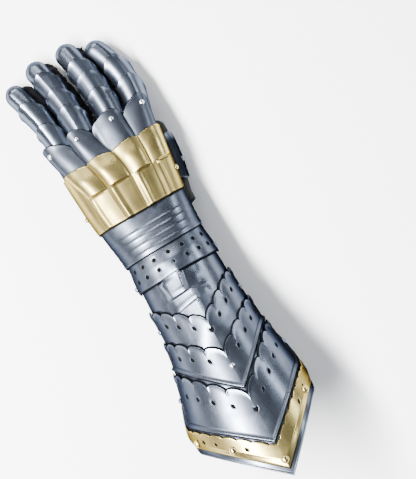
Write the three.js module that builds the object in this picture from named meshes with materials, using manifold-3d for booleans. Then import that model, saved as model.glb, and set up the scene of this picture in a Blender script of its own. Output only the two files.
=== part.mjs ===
// A left-hand plate gauntlet, palm down on a flat surface: steel lames over a black leather glove,
// with a brass plate over the knuckles and a brass border on the pointed cuff.
// Millimetres. +Y runs from the cuff to the fingertips, +X to the thumb's side,
// +Z up through the back of the hand.
import * as THREE from "three";
import { mergeVertices } from "three/addons/utils/BufferGeometryUtils.js";
import Module from "manifold-3d";

const wasm = await Module();
wasm.setup();

// Sheet and leather
const STEEL = 1.2;
const BRASS = 1.2;
const GAP = 0.3; // clearance between pieces that touch
const SLEEVE_WALL = 2;
const GLOVE_WALL = 1.5;

// What shows of each plate along the middle of the back, from the cuff's point to the fingers
const BASE_MARGIN = 7; // steel beyond the brass border
const BORDER_BAND = 20;
const LAME_3_SHOWN = 48;
const LAME_2_SHOWN = 42;
const LAME_1_SHOWN = 33;
const KEELED_SHOWN = 54;
const BAND_SHOWN = 27;
const RIDGED_SHOWN = 40;
const BRASS_SHOWN = 65;
const LOBES_SHOWN = 36;
const OVERLAP = 12; // hidden length of a plate under its neighbour

// How far the pointed edges fall back from the middle to the sides
const BASE_POINT = 58;
const BORDER_POINT = 53;
const LAME_3_POINT = 50;
const LAME_2_POINT = 36;
const LAME_1_POINT = 34;
const CORNER_ROUND = 32; // rise of the rounded corners at the sides of the cuff
const EDGE_BOW = 6; // how far the straight edges bow towards the fingers at the sides

// Limb under the plates: half widths to each side, and heights above the surface it lies on
const CUFF_LITTLE = 61;
const CUFF_THUMB = 50;
const CUFF_HEIGHT = 92;
const WRIST_LITTLE = 38;
const WRIST_THUMB = 35;
const WRIST_HEIGHT = 55;
const KNUCKLE_LITTLE = 50;
const KNUCKLE_THUMB = 48;
const KNUCKLE_HEIGHT = 41;
const KEEL_HEIGHT = 3;

// Scallops, holes, beads and rivets
const LAME_SCALLOPS = 12;
const LAME_3_SCALLOPS = 14;
const BORDER_SCALLOPS = 21;
const SCALLOP_DEPTH = 5;
const BORDER_SCALLOP_DEPTH = 1.8;
const HOLE_DIAMETER = 4;
const BAND_HOLE_DIAMETER = 3.6;
const BORDER_HOLE_DIAMETER = 3.4;
const HOLE_SIDES = 6;
const HOLE_INSET = 9; // from the notches between scallops to the line of holes
const LAME_3_HOLE_INSET = 13;
const BEAD_HEIGHT = 1.6;
const BEAD_HALF_WIDTH = 2.6;
const BAND_HOLE_PITCH = 10.5;
const RIVET_DIAMETER = 7;
const SMALL_RIVET_DIAMETER = 5;
const RIVET_SIDES = 7;
const RIVET_RISE = 0.36; // height of a rivet's head as a share of its diameter
const BOSS_HEIGHT = 4.4;
const FLUTE_HEIGHT = 2.6;
const LOBE_HEIGHT = 5;
const RIDGE_HEIGHT = 0.8;
const KEELED_STEP = 0.5;

// Fingers
const FINGER_HALF_WIDTH = 9.9;
const FINGER_HALF_HEIGHT = 8.6;
const FINGER_TAPER = 0.06; // how much thinner the tip is than the root
const FINGERTIP_DOME = 9;
const LITTLE_LENGTH = 76; // from the front of the lobes to each fingertip
const RING_LENGTH = 86;
const MIDDLE_LENGTH = 86;
const INDEX_LENGTH = 75;
const THUMB_BEYOND_BRASS = 14; // from the brass plate's front to the thumb's tip
const HOLLOW_OVERRUN = 6; // how far one hollow reaches into the next, so that they open into each other
const LAME_ARCH_LITTLE = 8; // how far a finger lame's front edge falls back on the little finger's side
const LAME_ARCH_THUMB = 16; // and on the thumb's side
const FINGER_OVERLAP = 5;
const THUMB_HALF_WIDTH = 11;
const LAME_KEEL = 0.7; // low ridge along the middle of each finger lame
const THUMB_PLATE_LENGTH = 46;
const THUMB_PLATE_FRONT = 18; // from the thumb's tip to its plate
const THUMB_PLATE_BOW = 4;

// Places of the plate edges along the arm
const BORDER_REAR = BASE_MARGIN;
const BORDER_FRONT = BORDER_REAR + BORDER_BAND;
const LAME_3_FRONT = BORDER_FRONT + LAME_3_SHOWN;
const LAME_2_FRONT = LAME_3_FRONT + LAME_2_SHOWN;
const LAME_1_FRONT = LAME_2_FRONT + LAME_1_SHOWN;
const BAND_REAR = LAME_1_FRONT + KEELED_SHOWN;
const RIDGED_REAR = BAND_REAR + BAND_SHOWN;
const BRASS_REAR = RIDGED_REAR + RIDGED_SHOWN;
const BRASS_FRONT = BRASS_REAR + BRASS_SHOWN;
const LOBES_FRONT = BRASS_FRONT + LOBES_SHOWN;
const WRIST_SEAM = RIDGED_REAR;
const HAND_FRONT = LOBES_FRONT - 0.55 * LOBES_SHOWN;
const ARM_LENGTH = LOBES_FRONT;
const STEP = STEEL + GAP;
const SLACK = 0.25; // room for the facets of curved plates over each other

const radians = THREE.MathUtils.degToRad;

// Sections of the limb from the cuff's point to the knuckles: the place along it as a share of ARM_LENGTH,
// then shares of the half widths to the little finger's and the thumb's side, and of the height.
// square is 2 for an ellipse and more for a flatter back.
const sections = (fullLittle, fullThumb, fullHeight) => (along, little, thumb, height, square) => ({
  along,
  little: little * fullLittle,
  thumb: thumb * fullThumb,
  height: height * fullHeight,
  square,
});
const cuffSection = sections(CUFF_LITTLE, CUFF_THUMB, CUFF_HEIGHT);
const wristSection = sections(WRIST_LITTLE, WRIST_THUMB, WRIST_HEIGHT);
const knuckleSection = sections(KNUCKLE_LITTLE, KNUCKLE_THUMB, KNUCKLE_HEIGHT);
const LIMB = [
  cuffSection(-0.03, 1.09, 1.14, 1.09, 2),
  cuffSection(0.11, 1.05, 1.06, 1.04, 2),
  cuffSection(0.2, 1.0, 0.98, 0.98, 2),
  cuffSection(0.26, 0.9, 0.92, 0.92, 2),
  cuffSection(0.34, 0.78, 0.83, 0.83, 2),
  wristSection(0.42, 1.1, 1.1, 1.24, 2),
  wristSection(0.5, 1.05, 1.03, 1.12, 2.05),
  wristSection(0.565, 1.02, 1.01, 1.04, 2.1),
  wristSection(0.635, 1.0, 1.0, 0.97, 2.2),
  knuckleSection(0.75, 0.93, 0.84, 1.14, 2.4),
  knuckleSection(0.845, 0.99, 0.94, 1.08, 2.5),
  knuckleSection(0.92, 1.02, 1.02, 0.97, 2.6),
  knuckleSection(1.02, 1.06, 1.1, 0.78, 2.6),
];
const SIDE_SHARE = 0.46; // height of the limb's widest line, as a share of its height
const SOLE_PRESS = 1.1; // the leather's underside is pressed flat below this share of its depth

// A smooth curve through one column of a table of sections.
function sample(table, column, at) {
  const last = table.length - 1;
  const next = Math.min(Math.max(table.findIndex((row) => row.along > at), 1), last);
  const i = at >= table[last].along ? last : next;
  const [a, b] = [table[i - 1], table[i]];
  const slope = (k) => {
    const [p, q] = [table[Math.max(k - 1, 0)], table[Math.min(k + 1, last)]];
    return (q[column] - p[column]) / (q.along - p.along);
  };
  const span = b.along - a.along;
  const t = (at - a.along) / span;
  return (
    a[column] * (1 + 2 * t) * (1 - t) ** 2 +
    slope(i - 1) * span * t * (1 - t) ** 2 +
    b[column] * t * t * (3 - 2 * t) +
    slope(i) * span * t * t * (t - 1)
  );
}

const power = (value, exponent) => Math.sign(value) * Math.abs(value) ** exponent;
const smooth = (low, high, value) => THREE.MathUtils.smoothstep(value, low, high);

// The raised keel along the middle of the wrist, in every plate that lies over it.
function keel(phi, y) {
  const along = smooth(LAME_2_FRONT + OVERLAP, LAME_1_FRONT, y) * (1 - smooth(BAND_REAR, RIDGED_REAR, y));
  return KEEL_HEIGHT * along * Math.max(0, 1 - Math.abs(phi) / radians(24)) ** 1.3;
}

// A point of the limb: phi is 0 on the back's middle line, positive to the thumb, and off is outwards.
function limbPoint(phi, y, off) {
  const point = bareLimbPoint(phi, y, off);
  point.z += keel(phi, y);
  return point;
}

function bareLimbPoint(phi, y, off) {
  const at = y / ARM_LENGTH;
  const half = sample(LIMB, phi < 0 ? "little" : "thumb", at) + off;
  const height = sample(LIMB, "height", at);
  const side = SIDE_SHARE * height;
  const exponent = 2 / sample(LIMB, "square", at);
  const cos = Math.cos(phi);
  const upper = (height - side + off) * power(cos, exponent);
  const lower = (SOLE_PRESS * side + off) * power(cos, 0.7);
  const z = side + (cos < 0 ? lower : upper);
  return new THREE.Vector3(half * power(Math.sin(phi), exponent), y, Math.max(z, -off));
}

// Bodies as manifold solids and back
function solidOf(geometry) {
  const bare = geometry.clone();
  bare.deleteAttribute("normal");
  bare.deleteAttribute("uv");
  const merged = mergeVertices(bare, 1e-4);
  return new wasm.Manifold(
    new wasm.Mesh({
      numProp: 3,
      vertProperties: new Float32Array(merged.attributes.position.array),
      triVerts: new Uint32Array(merged.index.array),
    }),
  );
}

function geometryOf(solid) {
  const { numProp, vertProperties, triVerts } = solid.getMesh();
  const count = vertProperties.length / numProp;
  const positions = new Float32Array(3 * count);
  for (let i = 0; i < count; i++) {
    positions.set(vertProperties.subarray(i * numProp, i * numProp + 3), 3 * i);
  }
  const geometry = new THREE.BufferGeometry();
  geometry.setAttribute("position", new THREE.BufferAttribute(positions, 3));
  geometry.setIndex(new THREE.BufferAttribute(new Uint32Array(triVerts), 1));
  return geometry;
}

function cut(geometry, cutters) {
  const whole = solidOf(geometry);
  return geometryOf(cutters.reduce((left, cutter) => left.subtract(solidOf(cutter)), whole));
}

// A closed geometry from points and triangles, turned to face outwards.
function closedGeometry(points, triangles) {
  let volume = 0;
  for (const [a, b, c] of triangles) {
    volume += points[a].dot(points[b].clone().cross(points[c]));
  }
  const faces = volume < 0 ? triangles.map(([a, b, c]) => [a, c, b]) : triangles;
  const geometry = new THREE.BufferGeometry().setFromPoints(points);
  geometry.setIndex(faces.flat());
  return mergeVertices(geometry, 1e-4);
}

const evenly = (count) => Array.from({ length: count + 1 }, (_, i) => (2 * i) / count - 1);
const COARSE = evenly(16);

// Positions across a scalloped edge: each scallop has its notch and a few points round its arc.
function scallopColumns(count, stops = [0, 0.25, 0.75]) {
  const columns = [];
  for (let i = 0; i < count; i++) {
    for (const stop of stops) {
      columns.push((2 * (i + stop)) / count - 1);
    }
  }
  return [...columns, 1];
}

function scallop(u, count, depth) {
  const place = ((u + 1) * count) / 2;
  const across = 2 * (place - Math.floor(place)) - 1;
  return depth * Math.sqrt(Math.max(0, 1 - across * across));
}

// A sheet between two offsets of a surface. u runs across from -1 to 1, v from the front edge to the rear.
// rows lists the v of each line of points; the first and last may have finer columns of their own.
function makeSheet(spec) {
  const { surface, reach, front, rear, level, thick, rows, frontColumns } = spec;
  const { edge = () => 0, columns = COARSE, around = false } = spec;
  const phiOf = spec.angle ?? ((u) => radians(u < 0 ? u * reach[0] : u * reach[1]));
  const straight = (u, v) => front(u) + (rear(u) - front(u)) * v + (v === 0 ? edge(u) : 0);
  const yOf = spec.lines ?? straight;
  const at = (u, v, side) => surface(phiOf(u, yOf(u, v)), yOf(u, v), level(u, v, yOf(u, v)) + side * thick);
  const points = [];
  const lines = { 1: [], 0: [] };
  for (const side of [1, 0]) {
    for (const v of rows) {
      const us = v === 0 && frontColumns ? frontColumns : columns;
      lines[side].push(us.map((u) => ({ u, index: points.push(at(u, v, side)) - 1 })));
    }
  }
  const triangles = [];
  const strip = (a, b, flip) => {
    let i = 0;
    let j = 0;
    const add = (p, q, r) => triangles.push(flip ? [p, r, q] : [p, q, r]);
    while (i < a.length - 1 || j < b.length - 1) {
      if (j === b.length - 1 || (i < a.length - 1 && a[i + 1].u <= b[j + 1].u)) {
        add(a[i].index, b[j].index, a[i + 1].index);
        i++;
      } else {
        add(a[i].index, b[j].index, b[j + 1].index);
        j++;
      }
    }
  };
  for (let r = 0; r < rows.length - 1; r++) {
    strip(lines[1][r], lines[1][r + 1], false);
    strip(lines[0][r], lines[0][r + 1], true);
  }
  strip(lines[0][0], lines[1][0], false);
  strip(lines[1].at(-1), lines[0].at(-1), false);
  if (!around) {
    const sideLine = (side, end) => lines[side].map((line, r) => ({ u: r, index: line.at(end).index }));
    strip(sideLine(1, 0), sideLine(0, 0), false);
    strip(sideLine(0, -1), sideLine(1, -1), false);
  }
  return { geometry: closedGeometry(points, triangles), at, thick };
}

// A place on a sheet's outer face and the way out from it.
function placeOn(sheet, u, v, out = 0) {
  const small = 0.01;
  const middle = sheet.at(u, v, 1);
  const across = sheet.at(u + small, v, 1).sub(sheet.at(u - small, v, 1));
  const along = sheet.at(u, v - small, 1).sub(sheet.at(u, v + small, 1));
  const normal = across.cross(along).normalize();
  return { point: middle.addScaledVector(normal, out), normal };
}

const UP = new THREE.Vector3(0, 1, 0);

function holeCutter(sheet, u, v, diameter = HOLE_DIAMETER) {
  const { point, normal } = placeOn(sheet, u, v, -sheet.thick / 2);
  const cutter = new THREE.CylinderGeometry(diameter / 2, diameter / 2, 4 * sheet.thick, HOLE_SIDES);
  cutter.applyQuaternion(new THREE.Quaternion().setFromUnitVectors(UP, normal));
  return cutter.translate(point.x, point.y, point.z);
}

// How much a plate has to rise from one edge to the other to clear the plate under it.
function riseOver(under, { front, rear, lift = 0 }, covered) {
  let rise = 0;
  for (const u of COARSE) {
    for (const y of covered(u)) {
      const share = (front(u) - y) / (front(u) - rear(u));
      const underShare = (under.front(u) - y) / (under.front(u) - under.rear(u));
      const need = under.level(u, underShare, y) + STEP + SLACK - GAP - lift;
      rise = Math.max(rise, need / (1 - share));
    }
  }
  return rise;
}

const steel = new THREE.MeshStandardMaterial({ color: 0x8d99ad, roughness: 0.22, metalness: 1 });
const brass = new THREE.MeshStandardMaterial({ color: 0xc9ae62, roughness: 0.28, metalness: 1 });
const leather = new THREE.MeshStandardMaterial({ color: 0x17181b, roughness: 0.6, metalness: 0 });
const sleeveLeather = new THREE.MeshStandardMaterial({ color: 0x2b2d31, roughness: 0.7, metalness: 0 });

const gauntlet = new THREE.Group();

function add(name, geometry, material) {
  const mesh = new THREE.Mesh(geometry, material);
  mesh.name = name;
  gauntlet.add(mesh);
  return mesh;
}

// The keeled plate drops by a step at each of these lines, towards the cuff
const STEP_LINES = [0.63, 0.32].map((share) => LAME_1_FRONT + share * KEELED_SHOWN);

const BORDER_LAP = 0.56; // share of the border that lies over the third lame
const BORDER_KNEE = 0.64; // where the border turns down to the base plate, from its front edge

// Edge lines of the pointed plates: the middle, and the fall towards the sides.
const CUFF_REACH = [100, 100];
const cuffSide = (u) => Math.abs(Math.sin(radians(100 * u)));
const corner = (u) => CORNER_ROUND * Math.max(0, (Math.abs(100 * u) - 68) / 32) ** 2;
const pointed = (middle, fall) => (u) => middle + fall * cuffSide(u);
const baseRear = (u) => pointed(0, BASE_POINT)(u) + corner(u);
const borderRear = (u) => pointed(BORDER_REAR, BASE_POINT)(u) + corner(u);
const borderFront = (u) => pointed(BORDER_FRONT, BORDER_POINT)(u) + corner(u);
const lame3Front = (u) => Math.max(pointed(LAME_3_FRONT, LAME_3_POINT)(u), borderFront(u) + OVERLAP);
const lame2Front = pointed(LAME_2_FRONT, LAME_2_POINT);
const lame1Front = pointed(LAME_1_FRONT, LAME_1_POINT);
const bowed = (middle) => (u) => middle + EDGE_BOW * u * u;

// The three scalloped lames of the cuff
function scallopedLame({ name, front, rear, count, rise, lift, bead, inset, holes }) {
  const lines = (u, v) => {
    const ahead = front(u) + (v === 0 ? scallop(u, count, SCALLOP_DEPTH) : 0);
    if (v <= 0.5) {
      const half = (bead ? bead(u) + BEAD_HALF_WIDTH : (front(u) + rear(u)) / 2) - front(u);
      return ahead + 2 * v * half;
    }
    const start = bead ? bead(u) + BEAD_HALF_WIDTH : (front(u) + rear(u)) / 2;
    const beadPart = start - (v - 0.5) * 10 * BEAD_HALF_WIDTH;
    return v < 0.75 ? beadPart : start + (rear(u) - start) * ((v - 0.7) / 0.3);
  };
  const sheet = makeSheet({
    surface: limbPoint,
    reach: CUFF_REACH,
    front,
    rear,
    lines,
    level: (u, v, y) => {
      const raised = bead ? Math.max(0, 1 - Math.abs(y - bead(u)) / BEAD_HALF_WIDTH) : 0;
      const share = Math.min(1, Math.max(0, (front(u) - y) / (front(u) - rear(u))));
      return GAP + lift + rise * (1 - share) + BEAD_HEIGHT * raised;
    },
    thick: STEEL,
    rows: bead ? [0, 0.5, 0.6, 0.7, 1] : [0, 0.25, 0.5, 1],
    frontColumns: scallopColumns(count),
  });
  const cutters = holes.map((i) => {
    const u = (2 * i) / count;
    const half = front(u) - lines(u, 0.5);
    return holeCutter(sheet, u, inset / (2 * half));
  });
  add(name, cut(sheet.geometry, cutters), steel);
  return sheet;
}

const lame1Rear = (u) => lame2Front(u) - OVERLAP;
const lame2Rear = (u) => lame3Front(u) - OVERLAP;
const lame3Rear = (u) => borderFront(u) - BORDER_LAP * (borderFront(u) - borderRear(u));
const keeledRear = (u) => lame1Front(u) - OVERLAP;
const keeledFade = (u) => 1 - smooth(0.35, 0.6, Math.abs(u));
const stepsBehind = (y) => STEP_LINES.filter((line) => y > line).length;
const keeledStepsAt = (u, y) => KEELED_STEP * keeledFade(u) * stepsBehind(y);
const keeledLevel = (u, v, y) => GAP + keeledStepsAt(u, y);
const keeledUnder = { front: bowed(BAND_REAR), rear: keeledRear, level: keeledLevel };
const covers = (over, under) => (u) => [over(u) + SCALLOP_DEPTH, under(u)];

const lame1 = { front: lame1Front, rear: lame1Rear };
const lame1Rise = riseOver(keeledUnder, lame1, covers(lame1Front, keeledRear));
lame1.level = (u, v) => GAP + lame1Rise * (1 - v);
const lame2 = { front: lame2Front, rear: lame2Rear };
const lame2Rise = riseOver(lame1, lame2, covers(lame2Front, lame1Rear));
lame2.level = (u, v) => GAP + lame2Rise * (1 - v);
const lame3 = { front: lame3Front, rear: lame3Rear, lift: STEP + SLACK };
const lame3Rise = riseOver(lame2, lame3, covers(lame3Front, lame2Rear));
lame3.level = (u, v) => GAP + lame3.lift + lame3Rise * (1 - v);

// The steel plate at the bottom of the cuff, which shows beyond the brass
const base = makeSheet({
  surface: limbPoint,
  reach: CUFF_REACH,
  front: (u) => Math.min(borderFront(u) + OVERLAP, lame2Rear(u) - GAP),
  rear: baseRear,
  level: () => GAP,
  thick: STEEL,
  rows: [0, 0.5, 1],
});
add("cuff_base_plate", base.geometry, steel);

const lame1Sheet = scallopedLame({
  name: "scalloped_lame_1",
  front: lame1Front,
  rear: lame1Rear,
  count: LAME_SCALLOPS,
  rise: lame1Rise,
  lift: 0,
  inset: HOLE_INSET,
  holes: [-3, -2, -1, 0, 1, 2, 3],
});
const lame2Sheet = scallopedLame({
  name: "scalloped_lame_2",
  front: lame2Front,
  rear: lame2Rear,
  count: LAME_SCALLOPS,
  rise: lame2Rise,
  lift: 0,
  bead: (u) => lame3Front(u) + SCALLOP_DEPTH + BEAD_HALF_WIDTH + 2,
  inset: HOLE_INSET,
  holes: [-4, -3, -2, -1, 1, 2, 3, 4],
});
const lame3Sheet = scallopedLame({
  name: "scalloped_lame_3",
  front: lame3Front,
  rear: lame3Rear,
  count: LAME_3_SCALLOPS,
  rise: lame3Rise,
  lift: lame3.lift,
  bead: (u) => borderFront(u) + BORDER_SCALLOP_DEPTH + BEAD_HALF_WIDTH + 1,
  inset: LAME_3_HOLE_INSET,
  holes: [-4, -3, -2, -1, 0, 1, 2, 3, 4],
});

// The brass border along the bottom of the cuff: low over the base plate,
// and up over the third lame's rear edge
const border = { front: borderFront, rear: borderRear, lift: 2 * (STEP + SLACK) };
const borderRise = riseOver(lame3, border, (u) => [borderFront(u) + BORDER_SCALLOP_DEPTH, lame3Rear(u)]);
const borderLevel = (u, v) => {
  const low = GAP + STEP + SLACK;
  const high = GAP + border.lift;
  return v > BORDER_KNEE ? low + ((high - low) * (1 - v)) / (1 - BORDER_KNEE) : high + borderRise * (1 - v);
};
const borderSheet = makeSheet({
  surface: limbPoint,
  reach: CUFF_REACH,
  front: borderFront,
  rear: borderRear,
  edge: (u) => scallop(u, BORDER_SCALLOPS, BORDER_SCALLOP_DEPTH),
  level: borderLevel,
  thick: BRASS,
  rows: [0, BORDER_KNEE - 0.02, BORDER_KNEE + 0.02, 1],
  frontColumns: scallopColumns(BORDER_SCALLOPS, [0, 0.5]),
});
const BORDER_HOLES = [-0.74, -0.52, -0.41, -0.2, 0.36, 0.5, 0.72]; // across the border, from -1 to 1
const borderCutters = BORDER_HOLES.map((u) => holeCutter(borderSheet, u, 0.42, BORDER_HOLE_DIAMETER));
add("brass_border", cut(borderSheet.geometry, borderCutters), brass);

// The keeled wrist plate: straight steps across the wrist, under both of its neighbours
const keeledFront = bowed(BAND_REAR + OVERLAP);
const STEP_EDGE = 1; // length of the slope at a step
const keeledLines = (u, v) => {
  const rear = keeledRear(u);
  const lines = [keeledFront(u), bowed(BAND_REAR - 2)(u)];
  for (const line of STEP_LINES) {
    lines.push(line + STEP_EDGE, line);
  }
  const room = (i) => rear + 2 * (lines.length - i);
  return [...lines.map((y, i) => Math.max(y, room(i))), rear][Math.round(v * lines.length)];
};
const keeled = makeSheet({
  surface: limbPoint,
  reach: CUFF_REACH,
  front: keeledFront,
  rear: keeledRear,
  lines: keeledLines,
  level: keeledLevel,
  thick: STEEL,
  rows: [0, 1, 2, 3, 4, 5, 6].map((i) => i / 6),
});
add("keeled_wrist_plate", keeled.geometry, steel);

// Plates of the wrist and hand: each lies over the one nearer the cuff, with its rear edge showing
const bandFront = bowed(RIDGED_REAR + OVERLAP);
const bandRear = bowed(BAND_REAR);
const bandRearLevel = GAP + 2 * KEELED_STEP + STEP + SLACK;
const band = makeSheet({
  surface: limbPoint,
  reach: CUFF_REACH,
  front: bandFront,
  rear: bandRear,
  level: (u, v) => GAP + (bandRearLevel - GAP) * Math.min(1, v / 0.65),
  thick: STEEL,
  rows: [0, 0.33, 0.65, 1],
});
const bandLength = BAND_SHOWN + OVERLAP;
const BAND_COLUMN = 19.5; // degrees between holes round the wrist
const bandHoles = [];
for (const row of [1, 2]) {
  for (let i = -4; i <= 4; i++) {
    const riveted = row === 1 && Math.abs(i) === 4;
    if (!riveted) {
      const across = (i * BAND_COLUMN) / CUFF_REACH[1];
      const along = 1 - (row * BAND_HOLE_PITCH - 1) / bandLength;
      bandHoles.push(holeCutter(band, across, along, BAND_HOLE_DIAMETER));
    }
  }
}
add("punched_wrist_band", cut(band.geometry, bandHoles), steel);

// Transverse ridges on the back of the hand
const ridgedFront = bowed(BRASS_REAR + OVERLAP);
const ridgedRear = bowed(RIDGED_REAR);
const ridgedLength = RIDGED_SHOWN + OVERLAP;
const RIDGES = [0.1, 0.33, 0.56]; // places between the rear edge and the brass, as shares of what shows
const ridgeAt = (y) => {
  const place = (y - RIDGED_REAR) / RIDGED_SHOWN;
  return RIDGES.reduce((sum, ridge) => sum + Math.max(0, 1 - Math.abs(place - ridge) / 0.1), 0);
};
const ridgedRise = bandRearLevel - GAP + 0.3 * STEP;
const ridgedFlat = OVERLAP / ridgedLength; // the part under the brass lies low
const ridgeRows = [0.66, 0.56, 0.445, 0.33, 0.215, 0.1, 0.03].map(
  (share) => 1 - (share * RIDGED_SHOWN) / ridgedLength,
);
const ridged = makeSheet({
  surface: limbPoint,
  reach: [99, 78],
  front: ridgedFront,
  rear: ridgedRear,
  level: (u, v, y) =>
    GAP +
    ridgedRise * Math.max(0, (v - ridgedFlat) / (1 - ridgedFlat)) +
    RIDGE_HEIGHT * ridgeAt(y - EDGE_BOW * u * u),
  thick: STEEL,
  rows: [0, ...ridgeRows, 1],
  columns: evenly(14),
});
add("ridged_hand_plate", ridged.geometry, steel);

// Knuckles: grooves between the bosses, as shares of a right angle from the middle of the back,
// at the brass plate and, fanned out, at the front of the lobes
const GROOVES = [
  { brass: -0.52, lobes: -0.97 },
  { brass: -0.19, lobes: -0.33 },
  { brass: 0.04, lobes: -0.05 },
  { brass: 0.33, lobes: 0.25 },
  { brass: 0.76, lobes: 0.82 },
];
const GROOVE_PLACES = [-0.6, -0.25, 0.02, 0.35, 0.75]; // where the grooves lie across a sheet, from -1 to 1
const KNUCKLE_REACH = [97, 76];

function knuckleAngle(u, y) {
  const fan = smooth(BRASS_REAR + 0.5 * BRASS_SHOWN, LOBES_FRONT, y);
  const grooves = GROOVES.map(({ brass, lobes }) => 90 * (brass + (lobes - brass) * fan));
  const stops = [-KNUCKLE_REACH[0], ...grooves, KNUCKLE_REACH[1]];
  const places = [-1, ...GROOVE_PLACES, 1];
  const i = Math.min(Math.max(places.findIndex((place) => place > u), 1), places.length - 1);
  const share = (u - places[i - 1]) / (places[i] - places[i - 1]);
  return radians(stops[i - 1] + (stops[i] - stops[i - 1]) * (u >= 1 ? 1 : share));
}

function knuckle(u, roundness) {
  const i = GROOVE_PLACES.findIndex((place) => place > u);
  if (i < 1) return 0;
  const share = (u - GROOVE_PLACES[i - 1]) / (GROOVE_PLACES[i] - GROOVE_PLACES[i - 1]);
  return Math.sin(Math.PI * share) ** roundness;
}

function knuckleColumns(count) {
  const places = [-1, ...GROOVE_PLACES, 1];
  const columns = [];
  for (let i = 0; i < places.length - 1; i++) {
    const steps = i === 0 ? 5 : i === places.length - 2 ? 1 : count;
    for (let k = 0; k < steps; k++) {
      columns.push(places[i] + ((places[i + 1] - places[i]) * k) / steps);
    }
  }
  return [...columns, 1];
}

// The brass plate over the knuckles: four bosses that end in a step, and flutes behind them
const BOSS_END = 0.47; // from the front edge, as a share of the plate
const brassPlate = makeSheet({
  surface: limbPoint,
  angle: knuckleAngle,
  front: bowed(BRASS_FRONT - 2),
  rear: bowed(BRASS_REAR),
  edge: (u) => 2.5 * knuckle(u, 0.5),
  level: (u, v) =>
    GAP + STEP + SLACK + (v < BOSS_END ? BOSS_HEIGHT * knuckle(u, 0.7) : FLUTE_HEIGHT * knuckle(u, 1.2)),
  thick: BRASS,
  rows: [0, 0.24, BOSS_END - 0.02, BOSS_END + 0.02, 0.75, 1],
  columns: knuckleColumns(4),
});
add("brass_knuckle_plate", brassPlate.geometry, brass);

// The plate of four lobes over the roots of the fingers
const LOBE_NOTCH = 14; // how far the notches between lobes fall back
const LOBE_BOW_END = 0.55; // the front edge runs straight across from here to the thumb's side
const lobeHeight = (y) => LOBE_HEIGHT * (0.5 + 0.7 * smooth(BRASS_FRONT - OVERLAP, LOBES_FRONT, y));
const lobePlate = makeSheet({
  surface: limbPoint,
  angle: knuckleAngle,
  front: (u) => bowed(LOBES_FRONT - LOBE_NOTCH)(Math.min(u, LOBE_BOW_END)),
  rear: bowed(BRASS_FRONT - OVERLAP),
  edge: (u) => LOBE_NOTCH * knuckle(u, 0.5),
  level: (u, v, y) => GAP + Math.min(lobeHeight(y), LOBE_HEIGHT * 1.2) * knuckle(u, 0.7),
  thick: STEEL,
  rows: [0, 0.12, 0.5, 1],
  columns: knuckleColumns(4),
  frontColumns: knuckleColumns(7),
});
add("knuckle_lobe_plate", lobePlate.geometry, steel);

// Digits: each runs from a root to a tip along Y. across and height place the root's middle, lean and drop
// say how far the tip lies to the side and below, bow bulges the middle, and roll turns its back outwards.
// girth and spread are shares of a finger's width and of LEATHER_SPREAD; lames gives the lames' fronts
// as shares of what shows.
const FINGER_ROOT = HAND_FRONT + GAP;
const DIGITS = [
  {
    name: "little", root: FINGER_ROOT, tip: LOBES_FRONT + LITTLE_LENGTH, girth: 0.95, lames: [0.31, 0.69],
    across: -0.79 * KNUCKLE_LITTLE, lean: -17, bow: 0, spread: 1,
    height: 0.5 * KNUCKLE_HEIGHT, drop: 0.26 * KNUCKLE_HEIGHT, roll: -22,
  },
  {
    name: "ring", root: FINGER_ROOT, tip: LOBES_FRONT + RING_LENGTH, girth: 1,
    lames: [0.29, 0.535, 0.79],
    across: -0.31 * KNUCKLE_LITTLE, lean: -12, bow: 1, spread: 1,
    height: 0.7 * KNUCKLE_HEIGHT, drop: 0.43 * KNUCKLE_HEIGHT, roll: -6,
  },
  {
    name: "middle", root: FINGER_ROOT, tip: LOBES_FRONT + MIDDLE_LENGTH, girth: 1.04,
    lames: [0.286, 0.523, 0.72],
    across: 0.31 * KNUCKLE_THUMB, lean: -9, bow: 2, spread: 1,
    height: 0.7 * KNUCKLE_HEIGHT, drop: 0.43 * KNUCKLE_HEIGHT, roll: 5,
  },
  {
    name: "index", root: FINGER_ROOT, tip: LOBES_FRONT + INDEX_LENGTH, girth: 0.98, lames: [0.33, 0.65],
    across: 0.81 * KNUCKLE_THUMB, lean: -8, bow: 7, spread: 0.6,
    height: 0.5 * KNUCKLE_HEIGHT, drop: 0.26 * KNUCKLE_HEIGHT, roll: 20,
  },
];
const THUMB = {
  name: "thumb", root: BRASS_REAR + 3, tip: BRASS_FRONT + THUMB_BEYOND_BRASS,
  girth: THUMB_HALF_WIDTH / FINGER_HALF_WIDTH,
  across: 0.75 * KNUCKLE_THUMB, lean: 11, bow: 5, spread: 0,
  height: 0.33 * KNUCKLE_HEIGHT, drop: 0.07 * KNUCKLE_HEIGHT, roll: 50,
};

function digitMiddle({ root, tip, across, lean, bow, height, drop }, y) {
  const t = Math.max(0, (y - root) / (tip - root));
  return new THREE.Vector3(across + lean * t * t + bow * Math.sin(Math.PI * t), y, height - drop * t ** 1.25);
}

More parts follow.
